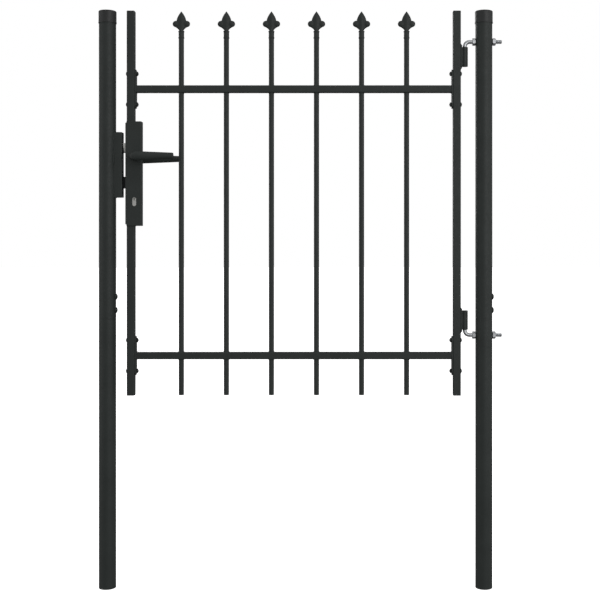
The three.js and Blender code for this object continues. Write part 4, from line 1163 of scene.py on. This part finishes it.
def latch_tail():
    """The latch bolt's flat tail with the hook under it, as the design model places them."""
    points = [vert.co for vert in frame["nodes"]["latch_bolt"].data.vertices]
    head_end = low("stile_latch").x + 2 * MM
    tail = [place for place in points if place.x > head_end]
    left, right = min(place.x for place in tail), max(place.x for place in tail)
    bottom, top = min(place.z for place in tail), max(place.z for place in tail)
    half, hook_top = TAIL_THICKNESS / 2, top - 9 * MM
    plate = block((head_end - 2 * MM, -half, hook_top), (right, half, top))
    hook = block((left, -half, bottom), (right, half, hook_top + MM))
    return combine(plate, hook, "UNION")


def dead_bolt():
    """The dead bolt, with the notched tail that the cam's finger drives."""
    node = "dead_bolt"
    bottom, top = bolt_head_span(node)
    half = extent(node).y / 2
    rear = low("stile_latch").x + MM
    head = block((low(node).x, -half, bottom), (rear, half, top))
    soften(head, 0.7 * MM, 3)
    right, foot = high(node).x, low(node).z
    left, side, finger = right - 12.6 * MM, TAIL_THICKNESS / 2, 1.8 * MM
    notch_top, lap = PLUG_AXIS.z + 14.9 * MM, 0.5 * MM
    parts = [
        block((rear - lap, -side, bottom + lap), (right, side, top - 10 * MM)),
        block((left, -side, notch_top), (right, side, bottom + MM)),
        block((left, -side, foot), (left + finger, side, notch_top + lap)),
        block((right - finger, -side, foot), (right, side, notch_top + lap)),
    ]
    for part in parts:
        head = combine(head, part, "UNION")
    stand_for(node, head, "black_steel")


LEVER_REACH = 50.5 * MM  # from the gate's middle plane to the grip's axis
LEVER_BEND = 10 * MM
NECK_RADIUS = 8.5 * MM
GRIP_START = (12 * MM, 7 * MM)  # half height and half depth of the grip after the bend
GRIP_END = (8.1 * MM, 5.6 * MM)  # and before its rounded end
GRIP_NOSE = 3 * MM


def between(first, second, share):
    return first + (second - first) * share


def lever(node):
    """A lever: a round neck on the spindle that bends into a grip, which narrows to a rounded end."""
    side = -1 if middle(node).y < 0 else 1
    start, end, height = SPINDLE.x, high(node).x, SPINDLE.z
    out = side * LEVER_REACH
    root = side * (BOX_HALF_DEPTH + 0.3 * MM)
    stations = []
    for share, swell in ((0, 1.06), (0.12, 1), (0.5, 1), (0.8, 1)):
        place = (start, between(root, out - side * LEVER_BEND, share), height)
        stations.append(ring_at(place, (0, side, 0), UP, NECK_RADIUS * swell))
    bends = 8
    for i in range(bends + 1):
        share = i / bends
        angle = share * math.pi / 2
        along, across = 1 - math.cos(angle), 1 - math.sin(angle)
        place = (start + LEVER_BEND * along, out - side * LEVER_BEND * across, height)
        size = [between(NECK_RADIUS, half, share) for half in GRIP_START]
        stations.append(ring_at(place, (math.sin(angle), side * math.cos(angle), 0), UP, *size))
    steps = 10
    for i in range(1, steps + 1):
        x = between(start + LEVER_BEND, end - GRIP_NOSE, i / steps)
        size = [between(*halves, i / steps) for halves in zip(GRIP_START, GRIP_END)]
        stations.append(ring_at((x, out, height), AXES["X"], UP, *size))
    for angle in (30, 55, 75, 87):
        turn = math.radians(angle)
        shrink = 1 - 0.35 * (1 - math.cos(turn))
        place = (end - GRIP_NOSE + GRIP_NOSE * math.sin(turn), out, height)
        stations.append(ring_at(place, AXES["X"], UP, *(half * shrink for half in GRIP_END)))
    hole, depth = 4.3 * MM, 31 * MM
    near, far = sorted((root - side * 2 * MM, side * depth))
    socket = block((start - hole, near, height - hole), (start + hole, far, height + hole))
    stand_for(node, combine(loft(stations, 40), socket), "powder_coat")


# ---- welds ---------------------------------------------------------------------------------------------------


RIPPLE_DEPTH = 0.16  # of the bead's radius
RIPPLE_LENGTH = 2.6 * MM


def ring_bead(radius, place):
    """A weld bead round an upright bar, rippled by the torch's steps."""
    shapes = settings().shapes
    bm = bmesh.new()
    section = Matrix.Translation((radius, 0, 0)) @ Matrix.Rotation(math.pi / 2, 4, "X")
    bmesh.ops.create_circle(bm, segments=10, radius=shapes.weld, matrix=section)
    bmesh.ops.spin(
        bm, geom=bm.verts[:] + bm.edges[:], cent=(0, 0, 0), axis=UP, angle=FULL_TURN, steps=56, use_merge=True,
    )
    for vert in bm.verts:
        angle = math.atan2(vert.co.y, vert.co.x)
        centre = Vector((math.cos(angle), math.sin(angle), 0)) * radius
        swell = 1 - RIPPLE_DEPTH * abs(math.sin(angle * shapes.ripples / 2))
        vert.co = centre + (vert.co - centre) * swell
    tidy(bm)
    bmesh.ops.translate(bm, vec=place, verts=bm.verts)
    return bm


def straight_bead(start, end, radius, side):
    """A weld bead between two points, rippled, with tapered ends."""
    start, end = Vector(start), Vector(end)
    run = end - start
    count = max(int(run.length / (0.8 * MM)), 6)
    stations = []
    for i in range(count + 1):
        share = i / count
        swell = 1 - RIPPLE_DEPTH * abs(math.sin(share * run.length / RIPPLE_LENGTH * math.pi))
        taper = min(1, 0.35 + min(share, 1 - share) * run.length / radius)
        stations.append(ring_at(start + run * share, run, side, radius * swell * taper))
    return loft(stations, 10)


def rail_welds(level):
    """The beads round every picket above and below a rail, and round both ends of its tube."""
    shapes = settings().shapes
    node = f"rail_{level}"
    half = rail_size(node) / 2
    height = middle(node).z
    parts = []
    for number in PICKETS:
        for side in (-1, 1):
            place = (middle(f"picket_{number}").x, 0, height + side * half)
            parts.append(ring_bead(PICKET_RADIUS, place))
    for x in (low(node).x + END_PLATE, high(node).x - END_PLATE):
        for y, z, along in ((-1, 0, "Z"), (1, 0, "Z"), (0, -1, "Y"), (0, 1, "Y")):
            centre = Vector((x, y * half, height + z * half))
            reach = AXES[along] * (half - 0.5 * MM)
            parts.append(straight_bead(centre - reach, centre + reach, shapes.weld, AXES["X"]))
    add_piece(f"rail_{level}_welds", gather(*parts), "powder_coat", "leaf")


def hinge_welds(key):
    """The beads that hold a hinge barrel on its plate, and the plate on the stile."""
    shapes = settings().shapes
    node = f"hinge_barrel_{key}"
    radius = high(node).x - HINGE_AXIS.x
    face = HINGE_AXIS.x - radius + 1.2 * MM
    bottom, top = barrel_ends(key, 0.5 * MM)
    parts = [straight_bead((face, y, bottom), (face, y, top), 1.6 * shapes.weld, AXES["X"])
             for y in (-4.6 * MM, 4.6 * MM)]
    edge = low(node).x
    for z in (low(node).z, high(node).z):
        parts.append(straight_bead((edge, -8 * MM, z), (edge, 8 * MM, z), 0.8 * shapes.weld, AXES["X"]))
    add_piece(f"hinge_barrel_{key}_welds", gather(*parts), "powder_coat", "leaf")


def keeper_welds():
    """The beads along the keeper's cheeks, with a longer stitch in the middle."""
    shapes = settings().shapes
    bottom, top = low("keeper").z, high("keeper").z
    axis = post_axis("latch_post").x
    half = extent("keeper").y / 2
    x = axis + math.sqrt(POST_RADIUS**2 - half**2)
    near, far, reach = 6 * MM, 24 * MM, 7 * MM
    tacks = ((bottom + near, bottom + far, 1.0), (*KEEPER_STITCH, 1.5), (top - far, top - near, 1.0))
    parts = []
    for y in (-half, half):
        for start, end, size in tacks:
            parts.append(straight_bead((x, y, start), (x, y, end), size * shapes.weld, AXES["X"]))
    face = axis + POST_RADIUS
    for z in (bottom, top):
        parts.append(straight_bead((face, -reach, z), (face, reach, z), shapes.weld, AXES["X"]))
    add_piece("keeper_welds", gather(*parts), "powder_coat", "posts")


def lock_welds():
    """The short beads that hold the lock box on the stile, above and below."""
    shapes = settings().shapes
    x0, x1 = low("stile_latch").x, high("stile_latch").x
    half = STILE_SIZE / 2
    parts = []
    for z in (low("lock_box").z, high("lock_box").z):
        for y in (-half, half):
            parts.append(straight_bead((x0 + 4 * MM, y, z), (x1 - 3 * MM, y, z), shapes.weld, UP))
        parts.append(straight_bead((x1, -7 * MM, z), (x1, 7 * MM, z), shapes.weld, UP))
    add_piece("lock_box_welds", gather(*parts), "powder_coat", "leaf")


# ---- studio --------------------------------------------------------------------------------------------------


def studio_floor():
    """A wide pale floor that the posts stand on."""
    material, tree, _ = new_material("studio_floor")
    surface(tree, {
        "Base Color": opaque(settings().colours.floor), "Roughness": 1.0, "Specular IOR Level": 0.0,
        "Emission Color": WHITE, "Emission Strength": 0.9,
    })
    bm = bmesh.new()
    bmesh.ops.create_circle(bm, cap_ends=True, segments=96, radius=40)
    mesh = bpy.data.meshes.new("studio_floor")
    bm.to_mesh(mesh)
    bm.free()
    mesh.materials.append(material)
    floor = bpy.data.objects.new("studio_floor", mesh)
    bpy.context.scene.collection.objects.link(floor)
    floor.visible_diffuse = False  # the floor is seen, but the room alone lights the gate from below
    floor.visible_glossy = False


def softbox(name, place, size, power):
    """A large square light that looks at the gate's middle."""
    light = bpy.data.lights.new(name, "AREA")
    light.shape = "RECTANGLE"
    light.size, light.size_y = size
    light.energy = power
    lamp = bpy.data.objects.new(name, light)
    lamp.location = place
    lamp.rotation_euler = (Vector((0, 0, 0.8)) - Vector(place)).to_track_quat("-Z", "Y").to_euler()
    bpy.context.scene.collection.objects.link(lamp)


def room_light(strength):
    """A pale room that looks white; it lights the gate most from above, and least from below and behind."""
    world = bpy.data.worlds.new("studio_room")
    world.use_nodes = True
    tree = world.node_tree
    tree.nodes.clear()
    direction = add_node(tree, "ShaderNodeTexCoord").outputs["Generated"]
    ways = add_node(tree, "ShaderNodeSeparateXYZ", {"Vector": direction}).outputs
    least, most = 0.4 * strength, 1.6 * strength
    rise = {"Value": ways["Z"], "From Min": -0.6, "From Max": 0.7, "To Min": least, "To Max": most}
    depth = {"Value": ways["Y"], "From Min": 0.2, "From Max": 0.9, "To Min": 1.0, "To Max": 0.45}
    shares = [add_node(tree, "ShaderNodeMapRange", inputs).outputs["Result"] for inputs in (rise, depth)]
    walls = add_node(tree, "ShaderNodeMath", dict(enumerate(shares)), operation="MULTIPLY").outputs["Value"]
    lit = add_node(tree, "ShaderNodeBackground", {"Color": WHITE, "Strength": walls}).outputs["Background"]
    seen = add_node(tree, "ShaderNodeBackground", {"Color": WHITE, "Strength": 1.0}).outputs["Background"]
    eye = add_node(tree, "ShaderNodeLightPath").outputs["Is Camera Ray"]
    mix = add_node(tree, "ShaderNodeMixShader", {"Fac": eye, 1: lit, 2: seen})
    add_node(tree, "ShaderNodeOutputWorld", {"Surface": mix.outputs["Shader"]})
    bpy.context.scene.world = world


def camera():
    """A level camera, with its lens shifted so that uprights stay upright."""
    studio = settings().studio
    data = bpy.data.cameras.new("gate_camera")
    data.lens = studio.lens
    data.sensor_width = 36
    data.shift_x, data.shift_y = studio.shift_x, studio.shift_y
    eye = bpy.data.objects.new("gate_camera", data)
    eye.location = (studio.camera_x, studio.camera_y, studio.camera_z)
    eye.rotation_euler = (math.pi / 2, 0, 0)
    bpy.context.scene.collection.objects.link(eye)
    bpy.context.scene.camera = eye


# ---- operators -----------------------------------------------------------------------------------------------


class GATE_OT_stage(bpy.types.Operator):
    """Makes the floor, the light and the camera"""

    bl_idname = "gate.stage"
    bl_label = "Studio"
    bl_options = {"REGISTER", "UNDO"}

    def execute(self, context):
        studio = settings().studio
        bpy.context.scene.view_settings.view_transform = "Standard"
        studio_floor()
        room_light(studio.daylight)
        softbox("key_softbox", (2.6, -4.0, 1.7), (2.4, 2.4), studio.key)
        softbox("left_softbox", (-2.6, -0.6, 1.0), (1.2, 2.4), studio.side)
        softbox("right_softbox", (2.6, -0.6, 1.0), (1.2, 2.4), studio.side)
        softbox("back_softbox", (-1.6, 3.2, 2.0), (2.0, 2.0), studio.back)
        camera()
        return {"FINISHED"}


class GATE_OT_posts(bpy.types.Operator):
    """Makes both tubes of both posts"""

    bl_idname = "gate.posts"
    bl_label = "Posts"
    bl_options = {"REGISTER", "UNDO"}

    def execute(self, context):
        for post in POSTS:
            lower_tube(post)
            upper_tube(post)
        return {"FINISHED"}


class GATE_OT_post_caps(bpy.types.Operator):
    """Makes the moulded cap of each post"""

    bl_idname = "gate.post_caps"
    bl_label = "Post caps"
    bl_options = {"REGISTER", "UNDO"}

    def execute(self, context):
        for post in POSTS:
            post_cap(post)
        return {"FINISHED"}


class GATE_OT_joint_screws(bpy.types.Operator):
    """Makes the screws that pin each post's two tubes"""

    bl_idname = "gate.joint_screws"
    bl_label = "Joint screws"
    bl_options = {"REGISTER", "UNDO"}

    def execute(self, context):
        for post in POSTS:
            for key in SCREWS:
                joint_screw(post, key)
        return {"FINISHED"}


class GATE_OT_keeper(bpy.types.Operator):
    """Makes the keeper, its screws and its welds"""

    bl_idname = "gate.keeper"
    bl_label = "Keeper"
    bl_options = {"REGISTER", "UNDO"}

    def execute(self, context):
        keeper_channel()
        for key in LEVELS:
            keeper_screw(key)
        keeper_welds()
        return {"FINISHED"}


class GATE_OT_hinges(bpy.types.Operator):
    """Makes the hinge rods, their nuts, the barrels and their welds"""

    bl_idname = "gate.hinges"
    bl_label = "Hinges"
    bl_options = {"REGISTER", "UNDO"}

    def execute(self, context):
        for key in LEVELS:
            hinge_rod(key)
            hinge_nut(key, "outer")
            hinge_nut(key, "inner")
            hinge_barrel(key)
            hinge_welds(key)
        return {"FINISHED"}


class GATE_OT_stiles(bpy.types.Operator):
    """Makes both stiles and their end plugs"""

    bl_idname = "gate.stiles"
    bl_label = "Stiles"
    bl_options = {"REGISTER", "UNDO"}

    def execute(self, context):
        for end in ENDS:
            stile(end)
            for level in LEVELS:
                stile_plug(end, level)
        return {"FINISHED"}


class GATE_OT_rails(bpy.types.Operator):
    """Makes both rails, their welds and their bolts"""

    bl_idname = "gate.rails"
    bl_label = "Rails"
    bl_options = {"REGISTER", "UNDO"}

    def execute(self, context):
        for level in LEVELS:
            rail(level)
            rail_welds(level)
        for end in ENDS:
            for node in rail_bolt_nodes(end):
                rail_bolt(node)
        return {"FINISHED"}


class GATE_OT_pickets(bpy.types.Operator):
    """Makes the pickets"""

    bl_idname = "gate.pickets"
    bl_label = "Pickets"
    bl_options = {"REGISTER", "UNDO"}

    def execute(self, context):
        for number in PICKETS:
            picket(number)
        return {"FINISHED"}


class GATE_OT_finials(bpy.types.Operator):
    """Makes the spear on each picket"""

    bl_idname = "gate.finials"
    bl_label = "Finials"
    bl_options = {"REGISTER", "UNDO"}

    def execute(self, context):
        for number in PICKETS:
            finial(number)
        return {"FINISHED"}


class GATE_OT_lock(bpy.types.Operator):
    """Makes the lock box, the lock case, the key cylinder and both bolts"""

    bl_idname = "gate.lock"
    bl_label = "Lock"
    bl_options = {"REGISTER", "UNDO"}

    def execute(self, context):
        lock_box()
        lock_welds()
        lock_case()
        forend_screws()
        cylinder_housing()
        cylinder_plug()
        latch_bolt()
        dead_bolt()
        return {"FINISHED"}


class GATE_OT_levers(bpy.types.Operator):
    """Makes the lever on each side"""

    bl_idname = "gate.levers"
    bl_label = "Levers"
    bl_options = {"REGISTER", "UNDO"}

    def execute(self, context):
        for node in ("lever_front", "lever_back"):
            lever(node)
        return {"FINISHED"}


class GATE_OT_inner_parts(bpy.types.Operator):
    """Gives the parts inside the lock, whose design shape is right, their finish"""

    bl_idname = "gate.inner_parts"
    bl_label = "Parts inside the lock"
    bl_options = {"REGISTER", "UNDO"}

    def execute(self, context):
        for node in ("follower", "follower_spring", "spindle"):
            part = frame["nodes"][node]
            part.data.materials.clear()
            part.data.materials.append(finish("zinc_plate"))
        return {"FINISHED"}


OPERATORS = (
    GATE_OT_stage, GATE_OT_posts, GATE_OT_post_caps, GATE_OT_joint_screws, GATE_OT_keeper, GATE_OT_hinges,
    GATE_OT_stiles, GATE_OT_rails, GATE_OT_pickets, GATE_OT_finials, GATE_OT_lock, GATE_OT_levers,
    GATE_OT_inner_parts,
)


class GATE_PT_pieces(bpy.types.Panel):
    """Lists the gate's operators in the 3D view's sidebar"""

    bl_idname = "GATE_PT_pieces"
    bl_label = "Garden Gate"
    bl_space_type = "VIEW_3D"
    bl_region_type = "UI"
    bl_category = "Garden Gate"

    def draw(self, context):
        for operator in OPERATORS:
            self.layout.operator(operator.bl_idname, text=operator.bl_label)


CLASSES = (GateShapes, GateColours, GateStudio, GateSettings, *OPERATORS, GATE_PT_pieces)


def register():
    for cls in CLASSES:
        bpy.utils.register_class(cls)
    bpy.types.Scene.garden_gate = PointerProperty(type=GateSettings)


def unregister():
    del bpy.types.Scene.garden_gate
    for cls in reversed(CLASSES):
        bpy.utils.unregister_class(cls)


def main():
    register()
    for operator in OPERATORS:
        group, name = operator.bl_idname.split(".")
        getattr(getattr(bpy.ops, group), name)()


if __name__ == "__main__":
    main()
